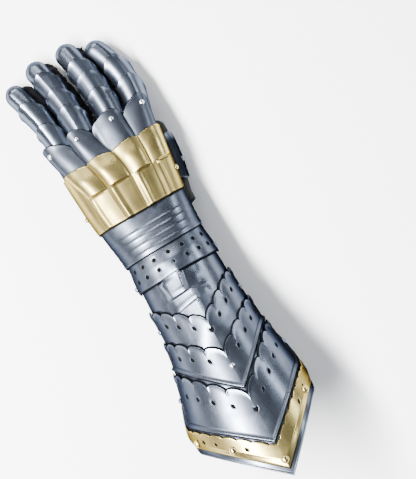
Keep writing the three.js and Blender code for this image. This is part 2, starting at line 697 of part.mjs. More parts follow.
// A point of a digit: its last stretch closes in a dome, where y turns from along to round.
function digitPoint(digit, phi, y, off) {
  const domeStart = digit.tip - FINGERTIP_DOME;
  const turn = Math.max(0, ((y - domeStart) / FINGERTIP_DOME) * (Math.PI / 2));
  const along = y > domeStart ? domeStart + (FINGERTIP_DOME + off) * Math.sin(turn) : y;
  const middle = digitMiddle(digit, along);
  const ahead = digitMiddle(digit, along + 1).sub(middle).normalize();
  const side = new THREE.Vector3().crossVectors(ahead, new THREE.Vector3(0, 0, 1)).normalize();
  const up = new THREE.Vector3().crossVectors(side, ahead);
  side.applyAxisAngle(ahead, radians(digit.roll));
  up.applyAxisAngle(ahead, radians(digit.roll));
  const taper = 1 - FINGER_TAPER * Math.min(1, Math.max(0, (along - digit.root) / (digit.tip - digit.root)));
  const closing = y > domeStart ? Math.cos(turn) : 1;
  const width = (digit.girth * FINGER_HALF_WIDTH * taper + off) * closing;
  const depth = (digit.girth * FINGER_HALF_HEIGHT * taper + off) * closing;
  return middle.addScaledVector(side, width * Math.sin(phi)).addScaledVector(up, depth * Math.cos(phi));
}

// Three or four lames over each finger, each over the one nearer the tip;
// the last is a cap over the fingertip
const FINGER_REACH = 96;
const FINGER_COLUMNS = evenly(8);
const lameSurface = (digit) => (phi, y, off) =>
  digitPoint(digit, phi, y, off + LAME_KEEL * Math.max(0, 1 - Math.abs(phi) / radians(36)));
const lameArch = (u) => (u < 0 ? LAME_ARCH_LITTLE : LAME_ARCH_THUMB);
const fallBack = (u) => lameArch(u) * (1 - Math.cos(radians(FINGER_REACH * u)));
for (const digit of DIGITS) {
  const length = digit.tip - LOBES_FRONT;
  const fronts = digit.lames.map((share) => LOBES_FRONT + share * length);
  const capFront = digit.tip - 0.1 * FINGERTIP_DOME;
  const rears = [LOBES_FRONT - LOBE_NOTCH + 6, ...fronts.map((y) => y - FINGER_OVERLAP)];
  const ends = [...fronts, capFront];
  ends.forEach((end, i) => {
    const isCap = i === fronts.length;
    const front = (u) => end - (isCap ? 0 : fallBack(u));
    const rear = (u) => rears[i] - (i === 0 ? 0 : 0.85 * fallBack(u));
    const rise = isCap ? 0 : (STEP * (end - rears[i])) / (end - rears[i] - FINGER_OVERLAP) + SLACK;
    const lame = makeSheet({
      surface: lameSurface(digit),
      reach: [FINGER_REACH, FINGER_REACH],
      front,
      rear,
      level: (u, v) => GAP + SLACK + rise * (1 - v),
      thick: STEEL,
      rows: isCap ? [0, 0.12, 0.3, 1] : [0, 0.5, 1],
      columns: FINGER_COLUMNS,
    });
    const place = isCap ? "tip_cap" : "lame_" + (i + 1);
    add(digit.name + "_" + place, lame.geometry, steel);
  });
}

// The thumb's plate
const thumbPlate = makeSheet({
  surface: lameSurface(THUMB),
  reach: [60, 60],
  front: (u) => THUMB.tip - THUMB_PLATE_FRONT - 0.6 * fallBack(u),
  rear: (u) => THUMB.tip - THUMB_PLATE_FRONT - THUMB_PLATE_LENGTH + THUMB_PLATE_BOW * u * u,
  level: () => GAP + SLACK,
  thick: STEEL,
  rows: [0, 0.5, 1],
  columns: evenly(6),
});
add("thumb_plate", thumbPlate.geometry, steel);

// A closed body through rings of a surface, with its ends drawn to their middles.
function rings(surface, ys, sides) {
  const points = [];
  const lines = ys.map((y) =>
    Array.from({ length: sides }, (_, k) => points.push(surface((2 * Math.PI * k) / sides, y)) - 1),
  );
  const triangles = [];
  const middle = (line) => {
    const sum = line.reduce((total, index) => total.add(points[index]), new THREE.Vector3());
    return points.push(sum.divideScalar(line.length)) - 1;
  };
  for (let k = 0; k < sides; k++) {
    const n = (k + 1) % sides;
    for (let r = 0; r < lines.length - 1; r++) {
      const [a, b] = [lines[r], lines[r + 1]];
      triangles.push([a[k], a[n], b[k]], [a[n], b[n], b[k]]);
    }
  }
  const [first, last] = [lines[0], lines.at(-1)];
  const [start, end] = [middle(first), middle(last)];
  for (let k = 0; k < sides; k++) {
    const n = (k + 1) % sides;
    triangles.push([first[n], first[k], start], [last[k], last[n], end]);
  }
  return closedGeometry(points, triangles);
}

const wrapped = (phi) => (phi > Math.PI ? phi - 2 * Math.PI : phi);
const DIGIT_SIDES = 10;
const LEATHER_SPREAD = 12; // how far a finger's leather spreads under its plates on the thumb's side
const SPREAD_INSET = 7; // how much less its hollow spreads

// A point of a digit's leather, with its lower quarter spread towards the thumb.
function leatherPoint(digit, phi, y, off, spread) {
  const point = digitPoint(digit, phi, y, off);
  const along = smooth(0, 0.35, (y - digit.root) / (digit.tip - digit.root));
  const dome = Math.max(0, (y - digit.tip + FINGERTIP_DOME) / FINGERTIP_DOME);
  const lower = smooth(radians(108), radians(144), phi) * (1 - smooth(radians(144), radians(180), phi));
  point.x += spread * along * lower * Math.cos((dome * Math.PI) / 2);
  return point;
}

function digitBody(digit, off, start, spread = 0) {
  const length = digit.tip - FINGERTIP_DOME - digit.root;
  const ys = [start, ...[0.3, 0.65, 1].map((share) => digit.root + share * length)];
  ys.push(digit.tip - 0.5 * FINGERTIP_DOME, digit.tip - 0.1 * FINGERTIP_DOME);
  return rings((phi, y) => leatherPoint(digit, phi, y, off, spread), ys, DIGIT_SIDES);
}

// A digit's body cut off straight at its start
function digitFrom(digit, off, start, spread) {
  const behind = new THREE.BoxGeometry(80, 40, 80).translate(digit.across, start - 20, digit.height);
  return solidOf(digitBody(digit, off, start - 8, spread)).subtract(solidOf(behind));
}

// The leather glove: hand, fingers and thumb, each hollow and open to the hand, and the flared sleeve
const LEATHER_OFF = -0.7; // the leather lies this far inside the limb's surface
const FINGER_OFF = -0.3;
const HAND_SIDES = 24;
const handRows = [0, 0.12, 0.3, 0.55, 0.8, 1];
function handBody(off, from, to) {
  const ys = handRows.map((share) => from + share * (to - from));
  return rings((phi, y) => bareLimbPoint(wrapped(phi), y, off), ys, HAND_SIDES);
}

// Room for the thumb and its plate beside the palm
const THUMB_CLEAR = LAME_KEEL + STEEL + 2 * (GAP + SLACK);
const handStart = WRIST_SEAM + GAP / 2;
const outer = solidOf(handBody(LEATHER_OFF, handStart, HAND_FRONT))
  .subtract(digitFrom(THUMB, THUMB_CLEAR, THUMB.root - GAP));
const palmStart = handStart - HOLLOW_OVERRUN;
const inner = solidOf(handBody(LEATHER_OFF - SLEEVE_WALL, palmStart, HAND_FRONT - GLOVE_WALL))
  .subtract(digitFrom(THUMB, THUMB_CLEAR + GLOVE_WALL, THUMB.root - GAP - GLOVE_WALL));
let hand = outer.subtract(inner);
for (const digit of [...DIGITS, THUMB]) {
  const spread = digit.spread * LEATHER_SPREAD;
  const hollowSpread = Math.max(0, spread - SPREAD_INSET);
  const hollowStart = digit.root - HOLLOW_OVERRUN;
  const hollow = solidOf(digitBody(digit, FINGER_OFF - GLOVE_WALL, hollowStart, hollowSpread));
  const whole = digitFrom(digit, FINGER_OFF, digit.root, spread);
  add("glove_" + digit.name, geometryOf(whole.subtract(hollow)), leather);
  hand = hand.subtract(hollow);
}
add("glove_hand", geometryOf(hand), leather);

const cuffShare = (u) => Math.min(1, Math.abs(u) * 1.8);
const SLEEVE_INSET = 14; // from the base plate's edge to the sleeve's mouth
const sleeve = makeSheet({
  surface: bareLimbPoint,
  reach: [180, 180],
  front: () => WRIST_SEAM - GAP / 2,
  rear: (u) => baseRear(cuffShare(u)) + SLEEVE_INSET,
  level: () => LEATHER_OFF - SLEEVE_WALL,
  thick: SLEEVE_WALL,
  rows: [0, 0.2, 0.36, 0.56, 1],
  columns: evenly(24),
  around: true,
});
add("leather_sleeve", sleeve.geometry, sleeveLeather);

// Rivets: a domed head on the face of a plate
function addRivet(name, sheet, u, v, diameter, material) {
  const radius = diameter / 2;
  const rise = RIVET_RISE * diameter;
  const profile = [[0, 0], [radius, 0], [0.72 * radius, 0.72 * rise], [0, rise]];
  const head = new THREE.LatheGeometry(profile.map(([x, y]) => new THREE.Vector2(x, y)), RIVET_SIDES);
  const { point, normal } = placeOn(sheet, u, v, GAP);
  const mesh = add(name, geometryOf(solidOf(head)), material);
  mesh.position.copy(point);
  mesh.quaternion.setFromUnitVectors(UP, normal);
}

const lobeMiddles = GROOVE_PLACES.slice(1).map((place, i) => (place + GROOVE_PLACES[i]) / 2);
lobeMiddles.forEach((u, i) => {
  addRivet("lobe_rivet_" + (i + 1), lobePlate, u, -0.2, SMALL_RIVET_DIAMETER, steel);
});
[-0.62, -0.3, 0, 0.5].forEach((u, i) => {
  addRivet("border_rivet_" + (i + 1), borderSheet, u, 0.6, RIVET_DIAMETER, brass);
});
addRivet("lame_2_rivet", lame2Sheet, 0, 0.2, SMALL_RIVET_DIAMETER, steel);
addRivet("thumb_rivet", thumbPlate, 0.2, 0.6, SMALL_RIVET_DIAMETER, steel);
for (const [side, end] of [["little", -1], ["thumb", 1]]) {
  addRivet("lame_1_rivet_" + side, lame1Sheet, 0.75 * end, 0.35, SMALL_RIVET_DIAMETER, steel);
  addRivet("lame_3_rivet_" + side, lame3Sheet, 0.82 * end, 0.3, SMALL_RIVET_DIAMETER, steel);
  addRivet("band_rivet_" + side, band, 0.78 * end, 0.86, SMALL_RIVET_DIAMETER, steel);
  addRivet("brass_rivet_" + side, brassPlate, 0.88 * end, 0.7, SMALL_RIVET_DIAMETER, brass);
}

// The origin is on the surface it lies on, under the middle of the gauntlet
gauntlet.updateMatrixWorld(true);
const box = new THREE.Box3().setFromObject(gauntlet, true);
gauntlet.position.set(-(box.min.x + box.max.x) / 2, -(box.min.y + box.max.y) / 2, -box.min.z);

export default gauntlet;
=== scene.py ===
# %% [markdown]
# # A plate gauntlet
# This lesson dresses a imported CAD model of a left-hand gauntlet: steel lames over a leather glove, with brass
# over the knuckles and along the pointed cuff. The CAD gives every size. Blender adds what a polished plate
# needs: fine even meshes, softened edges, round holes, and materials that show wear.

# %% Load the frame
import math
from collections import namedtuple

import bpy
import numpy as np
from mathutils import Matrix, Vector


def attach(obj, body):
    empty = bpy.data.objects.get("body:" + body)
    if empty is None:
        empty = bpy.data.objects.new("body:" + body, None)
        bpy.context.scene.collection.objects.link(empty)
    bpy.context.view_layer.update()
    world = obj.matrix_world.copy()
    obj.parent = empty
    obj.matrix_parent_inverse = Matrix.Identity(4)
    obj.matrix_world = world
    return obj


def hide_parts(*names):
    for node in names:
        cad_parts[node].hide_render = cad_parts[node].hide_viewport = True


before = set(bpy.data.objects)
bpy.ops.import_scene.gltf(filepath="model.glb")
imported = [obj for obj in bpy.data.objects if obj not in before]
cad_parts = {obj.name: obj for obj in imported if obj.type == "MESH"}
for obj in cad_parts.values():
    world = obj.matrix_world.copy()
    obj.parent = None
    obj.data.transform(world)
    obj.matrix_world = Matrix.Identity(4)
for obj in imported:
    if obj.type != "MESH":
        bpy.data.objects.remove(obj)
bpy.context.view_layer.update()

# %% [markdown]
# ## Camera
# A long lens looks down on the arm from the cuff's side, 78 degrees above the floor, and is rolled so that
# the arm runs up to the left. The lens follows from the distance and from how much one pixel covers.
# A rolled camera is easiest to build as a matrix whose columns are its right, up and backward directions.

# %% Camera
ELEVATION = math.radians(78)
ROLL = math.radians(30.2)
DISTANCE = 1.15
PIXEL = 0.00088
TARGET = Vector((0.0394, -0.0153, 0.0593))
IMAGE_WIDTH = 416

forward = Vector((0, math.cos(ELEVATION), -math.sin(ELEVATION)))
level_up = Vector((0, math.sin(ELEVATION), math.cos(ELEVATION)))
level_right = Vector((1, 0, 0))
right = level_right * math.cos(ROLL) - level_up * math.sin(ROLL)
up = level_right * math.sin(ROLL) + level_up * math.cos(ROLL)

camera_data = bpy.data.cameras.new("camera")
camera_data.sensor_fit = "HORIZONTAL"
camera_data.sensor_width = 36
camera_data.lens = DISTANCE / PIXEL * camera_data.sensor_width / IMAGE_WIDTH
camera_data.clip_end = 20
camera = bpy.data.objects.new("camera", camera_data)
bpy.context.collection.objects.link(camera)
turn = Matrix((right, up, -forward)).transposed()
camera.matrix_world = Matrix.Translation(TARGET - forward * DISTANCE) @ turn.to_4x4()
bpy.context.scene.camera = camera
print("lens", round(camera_data.lens, 1))

# %% [markdown]
# ## Shader expressions
# A material is a graph of nodes. Writing it as sums and products is shorter and clearer than linking sockets
# one by one, so a small class wraps a socket and turns each operator into a Math node. Colours go through a
# Mix node, because a Math node would turn them grey.

# %% A socket that can be used in expressions
class Socket:
    def __init__(self, graph, socket):
        self.graph = graph
        self.socket = socket

    def math(self, operation, first, second):
        return self.graph.node("ShaderNodeMath", {"operation": operation}, {0: first, 1: second})

    def __add__(self, other):
        return self.math("ADD", self, other)

    def __sub__(self, other):
        return self.math("SUBTRACT", self, other)

    def __rsub__(self, other):
        return self.math("SUBTRACT", other, self)

    def __mul__(self, other):
        return self.math("MULTIPLY", self, other)

    __radd__ = __add__
    __rmul__ = __mul__

    def between(self, low, high):
        """The value's place between low and high, from 0 to 1, eased at both ends."""
        settings = {"clamp": True, "interpolation_type": "SMOOTHSTEP"}
        return self.graph.node("ShaderNodeMapRange", settings, {0: self, 1: low, 2: high})


print("a socket takes +, - and *, and gives its place between two values")

# %% A material's graph
class Graph:
    """A material whose nodes all come from one method: a node's settings are set first, then its sockets."""

    def __init__(self, name):
        self.material = bpy.data.materials.new(name)
        self.material.use_nodes = True
        self.tree = self.material.node_tree
        self.shader = self.tree.nodes["Principled BSDF"]

    def node(self, kind, settings=None, values=None, output=0):
        node = self.tree.nodes.new(kind)
        for key, value in (settings or {}).items():
            setattr(node, key, value)
        for key, value in (values or {}).items():
            self.feed(node.inputs[key], value)
        return Socket(self, node.outputs[output])

    def feed(self, target, value):
        if isinstance(value, Socket):
            self.tree.links.new(value.socket, target)
        elif isinstance(value, tuple) and target.type == "RGBA":
            target.default_value = (*value, 1)
        else:
            target.default_value = value

    def surface(self, **values):
        """Values or links for the shader's sockets, so base_color goes to Base Color."""
        for name, value in values.items():
            socket = name.replace("_", " ").title().replace("Ior", "IOR")
            self.feed(self.shader.inputs[socket], value)

    def places(self, stretch=(1, 1, 1)):
        """Places on the object in metres, stretched along the axes."""
        where = self.node("ShaderNodeTexCoord", output="Object")
        return self.node("ShaderNodeVectorMath", {"operation": "MULTIPLY"}, {0: where, 1: stretch})

    def noise(self, scale, detail, roughness, stretch=(1, 1, 1), distortion=0.0):
        values = {"Vector": self.places(stretch), "Scale": scale, "Detail": detail,
                  "Roughness": roughness, "Distortion": distortion}
        return self.node("ShaderNodeTexNoise", {}, values)

    def mix(self, factor, first, second):
        return self.node("ShaderNodeMix", {"data_type": "RGBA"}, {0: factor, 6: first, 7: second}, output=2)

    def attribute(self, name):
        return self.node("ShaderNodeAttribute", {"attribute_name": name}, output="Fac")

    def bump(self, height, strength=1.0):
        """A normal for small relief, from its height in metres."""
        return self.node("ShaderNodeBump", {}, {"Height": height, "Distance": 1.0, "Strength": strength})


print("a graph makes noise, mixes, attributes and bumps")

# %% [markdown]
# ## Polished plate
# Real armour plate of this kind is machine-polished sheet. It mirrors the room softly, has long fine
# polishing lines, faint ripples from rolling and hammering, and duller smudges where hands held it. An image
# could hold all of that, but noise needs no unwrapping and holds up close: a bump for the lines and ripples,
# and the smudges in the colour and roughness. The meshes also carry three attributes for painted light. The
# first, edge, is 1 at a plate's rim, where it paints a highlight. The second, groove, is 1 in a pressed line
# and on a cut edge, where it paints shade. The third rises towards 1 down the sides, and paints shade there.

# %% Metal materials
LINES_ALONG = (260, 9, 260)  # noise drawn out into long lines that run with the arm
LINES_ACROSS = (18, 260, 18)  # and into short ones that cross them
EDGE_HIGHLIGHT = 1.3  # how much brighter than the plate the painted highlight on its edges is
GRAZING_TINT = (0.2, 0.2, 0.22)  # darkens what a plate mirrors at a low angle


def metal(name, light, dark, shade_color, rough):
    graph = Graph(name)
    edge = graph.attribute("edge")
    groove = graph.attribute("groove")
    side_shade = graph.attribute("side_shade")
    smudge = graph.noise(26, 5, 0.6).between(0.38, 0.68)
    patches = graph.noise(55, 6, 0.62, distortion=0.6).between(0.44, 0.66)
    specks = graph.noise(420, 2, 0.5).between(0.62, 0.76)
    lines = graph.noise(3.0, 4, 0.7, stretch=LINES_ALONG)
    fine = graph.noise(6.0, 3, 0.6, stretch=LINES_ACROSS)
    dull = smudge * 0.5 + patches * 0.28 + specks * 0.22
    color = graph.mix(dull * 0.7, light, dark)
    # painted shade: the sides, the grooves and the cut edges are mixed towards a near-black shade colour
    color = graph.mix(side_shade * 0.94, color, shade_color)
    color = graph.mix(groove * 0.96, color, shade_color)
    # painted highlight: a plate's rim is mixed towards a brighter copy of its light tone
    color = graph.mix(edge * 0.6, color, tuple(min(1.0, channel * EDGE_HIGHLIGHT) for channel in light))
    roughness = rough + smudge * 0.07 + patches * 0.05 + lines * 0.08
    roughness = roughness + groove * 0.3 + side_shade * 0.15 - edge * 0.06
    ripple = graph.noise(30, 2, 0.4)
    dents = graph.noise(85, 2, 0.5)
    height = ripple * 0.00034 + dents * 0.00005 + lines * 0.000009 + fine * 0.000003
    graph.surface(base_color=color, metallic=1.0, roughness=roughness, specular_tint=GRAZING_TINT,
                  normal=graph.bump(height))
    return graph.material


steel = metal("polished_steel", (0.125, 0.142, 0.178), (0.07, 0.082, 0.108), (0.005, 0.006, 0.008), 0.22)
brass = metal("polished_brass", (0.48, 0.38, 0.14), (0.17, 0.13, 0.045), (0.012, 0.009, 0.004), 0.22)
# lighter copies of steel and brass for the rivet heads, as a painted highlight
highlit_steel = metal("rivet_steel", (0.7, 0.72, 0.76), (0.5, 0.52, 0.56), (0.008, 0.009, 0.012), 0.16)
highlit_brass = metal("rivet_brass", (0.6, 0.48, 0.2), (0.4, 0.3, 0.11), (0.012, 0.009, 0.004), 0.16)
print("metals", [material.name for material in (steel, brass, highlit_steel, highlit_brass)])

# %% [markdown]
# ## Leather
# The glove is black chrome-tanned leather, the sleeve a heavier dark grey hide, and a matt black leather
# paints the shade seen through the holes. Leather's grain is a net of small cells with creases between them.
# A carved displacement would be lost at this size, so a Voronoi distance gives the cells of a bump, and noise
# breaks them up.

# %% Leather materials
def hide(name, light, dark, rough, cell, shine):
    graph = Graph(name)
    crease_and_shade = graph.attribute("groove")
    warp = graph.noise(160, 3, 0.6)
    cells = graph.node("ShaderNodeTexVoronoi", {"feature": "DISTANCE_TO_EDGE"},
                       {"Vector": graph.places(), "Scale": cell, "Randomness": 1.0})
    net = (cells + warp * 0.12).between(0.02, 0.2)
    wear = graph.noise(34, 5, 0.62).between(0.4, 0.7)
    color = graph.mix(wear * 0.7 + net * 0.2, dark, light)
    # darker along the groove attribute, as on the sleeve's stitched line; on the hole discs this is painted
    # shade
    color = graph.mix(crease_and_shade * 0.6, color, tuple(channel * 0.4 for channel in dark))
    roughness = rough + wear * 0.12 - net * 0.08
    height = net * 0.00012 + graph.noise(70, 4, 0.6) * 0.0007 - crease_and_shade * 0.0002
    graph.surface(base_color=color, roughness=roughness, specular_ior_level=shine,
                  normal=graph.bump(height, 0.8))
    return graph.material


glove_leather = hide("glove_leather", (0.005, 0.005, 0.006), (0.002, 0.002, 0.002), 0.62, 900, 0.07)
sleeve_leather = hide("sleeve_leather", (0.07, 0.073, 0.082), (0.028, 0.029, 0.033), 0.55, 620, 0.4)
hole_shade_leather = hide("hole_shade_leather", (0.004, 0.004, 0.004), (0.002, 0.002, 0.002), 0.8, 900, 0.05)
print("leathers", [material.name for material in (glove_leather, sleeve_leather, hole_shade_leather)])

# %% [markdown]
# ## The limb under the plates
# Every plate is a sheet at some height above one limb: a forearm that flares to the cuff and flattens to the
# hand. Its sections are superellipses, whose sizes run smoothly through a short table. The same table shaped
# the CAD, so a plate built on it lands where the CAD says. Lengths are millimetres from the cuff's point.

# %% Limb sections
STEEL = 1.2
GAP = 0.3  # air between a plate and what it lies on
SLACK = 0.25  # more air, where one plate slides over another
STEP = STEEL + GAP
SCALE = 0.001
CAD_ORIGIN = np.array([3.618, -230.337, -0.7])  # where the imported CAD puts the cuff's point

BORDER_REAR, BORDER_FRONT, LAME_3_FRONT, LAME_2_FRONT, LAME_1_FRONT = 7, 27, 75, 117, 150
BAND_REAR, RIDGED_REAR, BRASS_REAR, BRASS_FRONT, LOBES_FRONT = 204, 231, 271, 336, 372
OVERLAP = 12
HAND_FRONT = LOBES_FRONT - 0.55 * (LOBES_FRONT - BRASS_FRONT)  # the fingers' leather begins here
CUFF_LITTLE, CUFF_THUMB, CUFF_HEIGHT = 61, 50, 92
WRIST_LITTLE, WRIST_THUMB, WRIST_HEIGHT = 38, 35, 55
KNUCKLE_LITTLE, KNUCKLE_THUMB, KNUCKLE_HEIGHT = 50, 48, 41
KEEL_HEIGHT, KEEL_HALF = 3, math.radians(24)
cuff = np.array([CUFF_LITTLE, CUFF_THUMB, CUFF_HEIGHT, 1])
wrist = np.array([WRIST_LITTLE, WRIST_THUMB, WRIST_HEIGHT, 1])
knuckles = np.array([KNUCKLE_LITTLE, KNUCKLE_THUMB, KNUCKLE_HEIGHT, 1])
# place along the limb, then the shares of the little side, thumb side and height, and the squareness
LIMB = [
    (-0.03, cuff * (1.09, 1.14, 1.09, 2)),
    (0.11, cuff * (1.05, 1.06, 1.04, 2)),
    (0.2, cuff * (1.0, 0.98, 0.98, 2)),
    (0.26, cuff * (0.9, 0.92, 0.92, 2)),
    (0.34, cuff * (0.78, 0.83, 0.83, 2)),
    (0.42, wrist * (1.1, 1.1, 1.24, 2)),
    (0.5, wrist * (1.05, 1.03, 1.12, 2.05)),
    (0.565, wrist * (1.02, 1.01, 1.04, 2.1)),
    (0.635, wrist * (1.0, 1.0, 0.97, 2.2)),
    (0.75, knuckles * (0.93, 0.84, 1.14, 2.4)),
    (0.845, knuckles * (0.99, 0.94, 1.08, 2.5)),
    (0.92, knuckles * (1.02, 1.02, 0.97, 2.6)),
    (1.02, knuckles * (1.06, 1.1, 0.78, 2.6)),
]
PLACES = np.array([place for place, _ in LIMB])
SIZES = np.array([sizes for _, sizes in LIMB])
SIDE_SHARE = 0.46  # how high the widest place of a section lies, as a share of its height
SOLE_PRESS, SOLE_ROUNDNESS = 1.1, 0.7  # the underside is pressed flat, with full corners


def sample(column, at):
    """A smooth curve through one column of the table."""
    sizes = SIZES[:, column]
    slopes = np.empty_like(sizes)
    slopes[1:-1] = (sizes[2:] - sizes[:-2]) / (PLACES[2:] - PLACES[:-2])
    slopes[0] = (sizes[1] - sizes[0]) / (PLACES[1] - PLACES[0])
    slopes[-1] = (sizes[-1] - sizes[-2]) / (PLACES[-1] - PLACES[-2])
    i = np.clip(np.searchsorted(PLACES, at, side="right"), 1, len(PLACES) - 1)
    span = PLACES[i] - PLACES[i - 1]
    t = (at - PLACES[i - 1]) / span
    return (
        sizes[i - 1] * (1 + 2 * t) * (1 - t) ** 2
        + slopes[i - 1] * span * t * (1 - t) ** 2
        + sizes[i] * t * t * (3 - 2 * t)
        + slopes[i] * span * t * t * (t - 1)
    )


def smooth(low, high, value):
    """A step from 0 at low to 1 at high, eased at both ends."""
    t = np.clip((value - low) / (high - low), 0, 1)
    return t * t * (3 - 2 * t)


def power(value, exponent):
    return np.sign(value) * np.abs(value) ** exponent


def keel(phi, y):
    """The height of the ridge along the back of the wrist, which fades at both ends."""
    along = smooth(LAME_2_FRONT + OVERLAP, LAME_1_FRONT, y) * (1 - smooth(BAND_REAR, RIDGED_REAR, y))
    return KEEL_HEIGHT * along * np.maximum(0, 1 - np.abs(phi) / KEEL_HALF) ** 1.3


def bare_limb(phi, y, off):
    """Points at a height off above the limb: phi is 0 on the back's middle line, positive to the thumb."""
    at = y / LOBES_FRONT
    half = np.where(phi < 0, sample(0, at), sample(1, at)) + off
    height = sample(2, at)
    side = SIDE_SHARE * height
    exponent = 2 / sample(3, at)
    cos = np.cos(phi)
    upper = (height - side + off) * power(cos, exponent)
    lower = (SOLE_PRESS * side + off) * power(cos, SOLE_ROUNDNESS)
    z = np.maximum(side + np.where(cos < 0, lower, upper), -off)
    return np.stack([half * power(np.sin(phi), exponent), y, z], -1)


def limb(phi, y, off):
    """The same points with the keel on the back of the wrist."""
    points = bare_limb(phi, y, off)
    points[..., 2] += keel(phi, y)
    return points


for y in (60, 200, 340):
    print("half widths at", y, [round(float(sample(column, y / LOBES_FRONT)), 1) for column in (0, 1, 2)])

# %% [markdown]
# ## One builder for every plate
# A plate is a grid of points across (u) and along (v), laid on a surface twice, once for each face, and
# joined round its rim. The rows next to an edge sit close together and sink in a quarter circle, which
# softens it. A hole takes a patch of cells out of the grid and fills it with rings from the patch's outline
# to a circle, so holes are truly round and the mesh stays all quads. A boolean would also cut them, but
# leaves long triangles that show in a mirror finish.

# %% Spacing, rims and holes
SOFT = 0.4  # radius of a plate's softened edge
RIM_ROWS = (0.06, 0.2)
PATH_SAMPLES = 3001


def spread(path, stops, step, rims=True):
    """Values through every stop, about step millimetres apart on the path, with close rows at both ends."""
    fine = np.linspace(stops[0], stops[-1], PATH_SAMPLES)
    points = path(fine)
    length = np.concatenate([[0], np.cumsum(np.linalg.norm(np.diff(points, axis=0), axis=1))])
    marks = list(np.interp(stops, fine, length))
    if rims:
        near = [*RIM_ROWS, SOFT]
        marks += near + [length[-1] - d for d in near]
        marks = [m for m in marks if m in (0, length[-1]) or m in near or length[-1] - m in near
                 or SOFT * 1.5 < m < length[-1] - SOFT * 1.5]
    marks = sorted(set(np.clip(marks, 0, length[-1])))
    kept = [marks[0]]
    for mark in marks[1:]:
        if mark - kept[-1] > 1e-3:
            kept.append(mark)
    places = []
    for a, b in zip(kept, kept[1:]):
        count = max(1, round((b - a) / step))
        places += list(np.linspace(a, b, count + 1)[:-1])
    return np.interp([*places, kept[-1]], length, fine)


def sunk(distance):
    """How far a face lies below its plane near an edge."""
    inside = SOFT - np.minimum(distance, SOFT)
    return SOFT - np.sqrt(np.maximum(0, SOFT * SOFT - inside * inside))


def outline(low_row, high_row, low_column, high_column):
    """The outline of a patch of the grid, in order."""
    columns = range(low_column, high_column + 1)
    rows = range(low_row, high_row + 1)
    path = [(low_row, c) for c in columns]
    path += [(r, high_column) for r in rows[1:]]
    path += [(high_row, c) for c in reversed(columns[:-1])]
    path += [(r, low_column) for r in reversed(rows[1:-1])]
    return path


def unit(vectors):
    return vectors / np.maximum(np.linalg.norm(vectors, axis=-1, keepdims=True), 1e-9)


print("soft edge", SOFT, "mm")

# %% Placing a mesh
made = []


def place(name, points, faces, material, attributes, body="root"):
    """A smooth mesh object from points in CAD millimetres, riding on a body."""
    mesh = bpy.data.meshes.new(name)
    mesh.from_pydata(((np.asarray(points) + CAD_ORIGIN) * SCALE).tolist(), [], faces)
    for key, values in attributes.items():
        mesh.attributes.new(key, "FLOAT", "POINT").data.foreach_set("value", np.asarray(values, np.float32))
    mesh.shade_smooth()
    mesh.materials.append(material)
    piece = bpy.data.objects.new(name, mesh)
    bpy.context.collection.objects.link(piece)
    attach(piece, body)
    made.append(piece)
    return piece


print("the cuff's point lies at", (CAD_ORIGIN * SCALE).round(4).tolist())

# %% Faces and dark sides
def neighbours(count):
    """Each number below count with the next one, round to the start."""
    return [(k, (k + 1) % count) for k in range(count)]


def close_grid(count, faces, outer_points, inner_points):
    """Both faces of a sheet and its rim, turned outwards."""
    quads = np.array(faces)
    a, b = quads, np.roll(quads, -1, axis=1)
    forth = (a * count + b).ravel()
    back = (b * count + a).ravel()
    open_edges = ~np.isin(forth, back)
    start, end = a.ravel()[open_edges], b.ravel()[open_edges]
    rim = np.stack([end, start, start + count, end + count], 1)
    whole = np.concatenate([quads, quads[:, ::-1] + count, rim])
    corners = outer_points[quads]
    normals = np.cross(corners[:, 1] - corners[:, 0], corners[:, 3] - corners[:, 0])
    outwards = (outer_points - inner_points)[quads[:, 0]]
    if np.einsum("ij,ij->i", normals, outwards).sum() < 0:
        whole = whole[:, ::-1]
    return whole


def lengths(points, axis):
    """How far each point of a grid lies from the grid's first row or column, along the sheet."""
    steps = np.linalg.norm(np.diff(points, axis=axis), axis=2)
    start = np.zeros_like(np.take(steps, [0], axis))
    return np.concatenate([start, np.cumsum(steps, axis=axis)], axis)


def side_shade_of(phi):
    """How much painted shade falls down the sides: the thumb's side is darker and starts higher."""
    turn = np.degrees(phi)
    return 0.95 * smooth(38, 76, turn) + 0.7 * smooth(26, 66, -turn)


print("darkness at 60 degrees", [round(float(side_shade_of(math.radians(a))), 2) for a in (-60, 60)])

# %% The plate builder
CUT_LINE, HOLE_LINE = 0.16, 0.3  # how far the painted shade of a cut edge and of a hole runs in over the outer face
BRIGHT_LINE = 0.9  # how far in from an edge the painted highlight reaches
BEVEL_WIDTH = 1.6  # the inner face starts to run ahead of the outer one this far from the edge
HOLE_ROOM = 1.0  # width of the rings round a hole
NEAR = 0.005  # a small change of u or v, to measure with


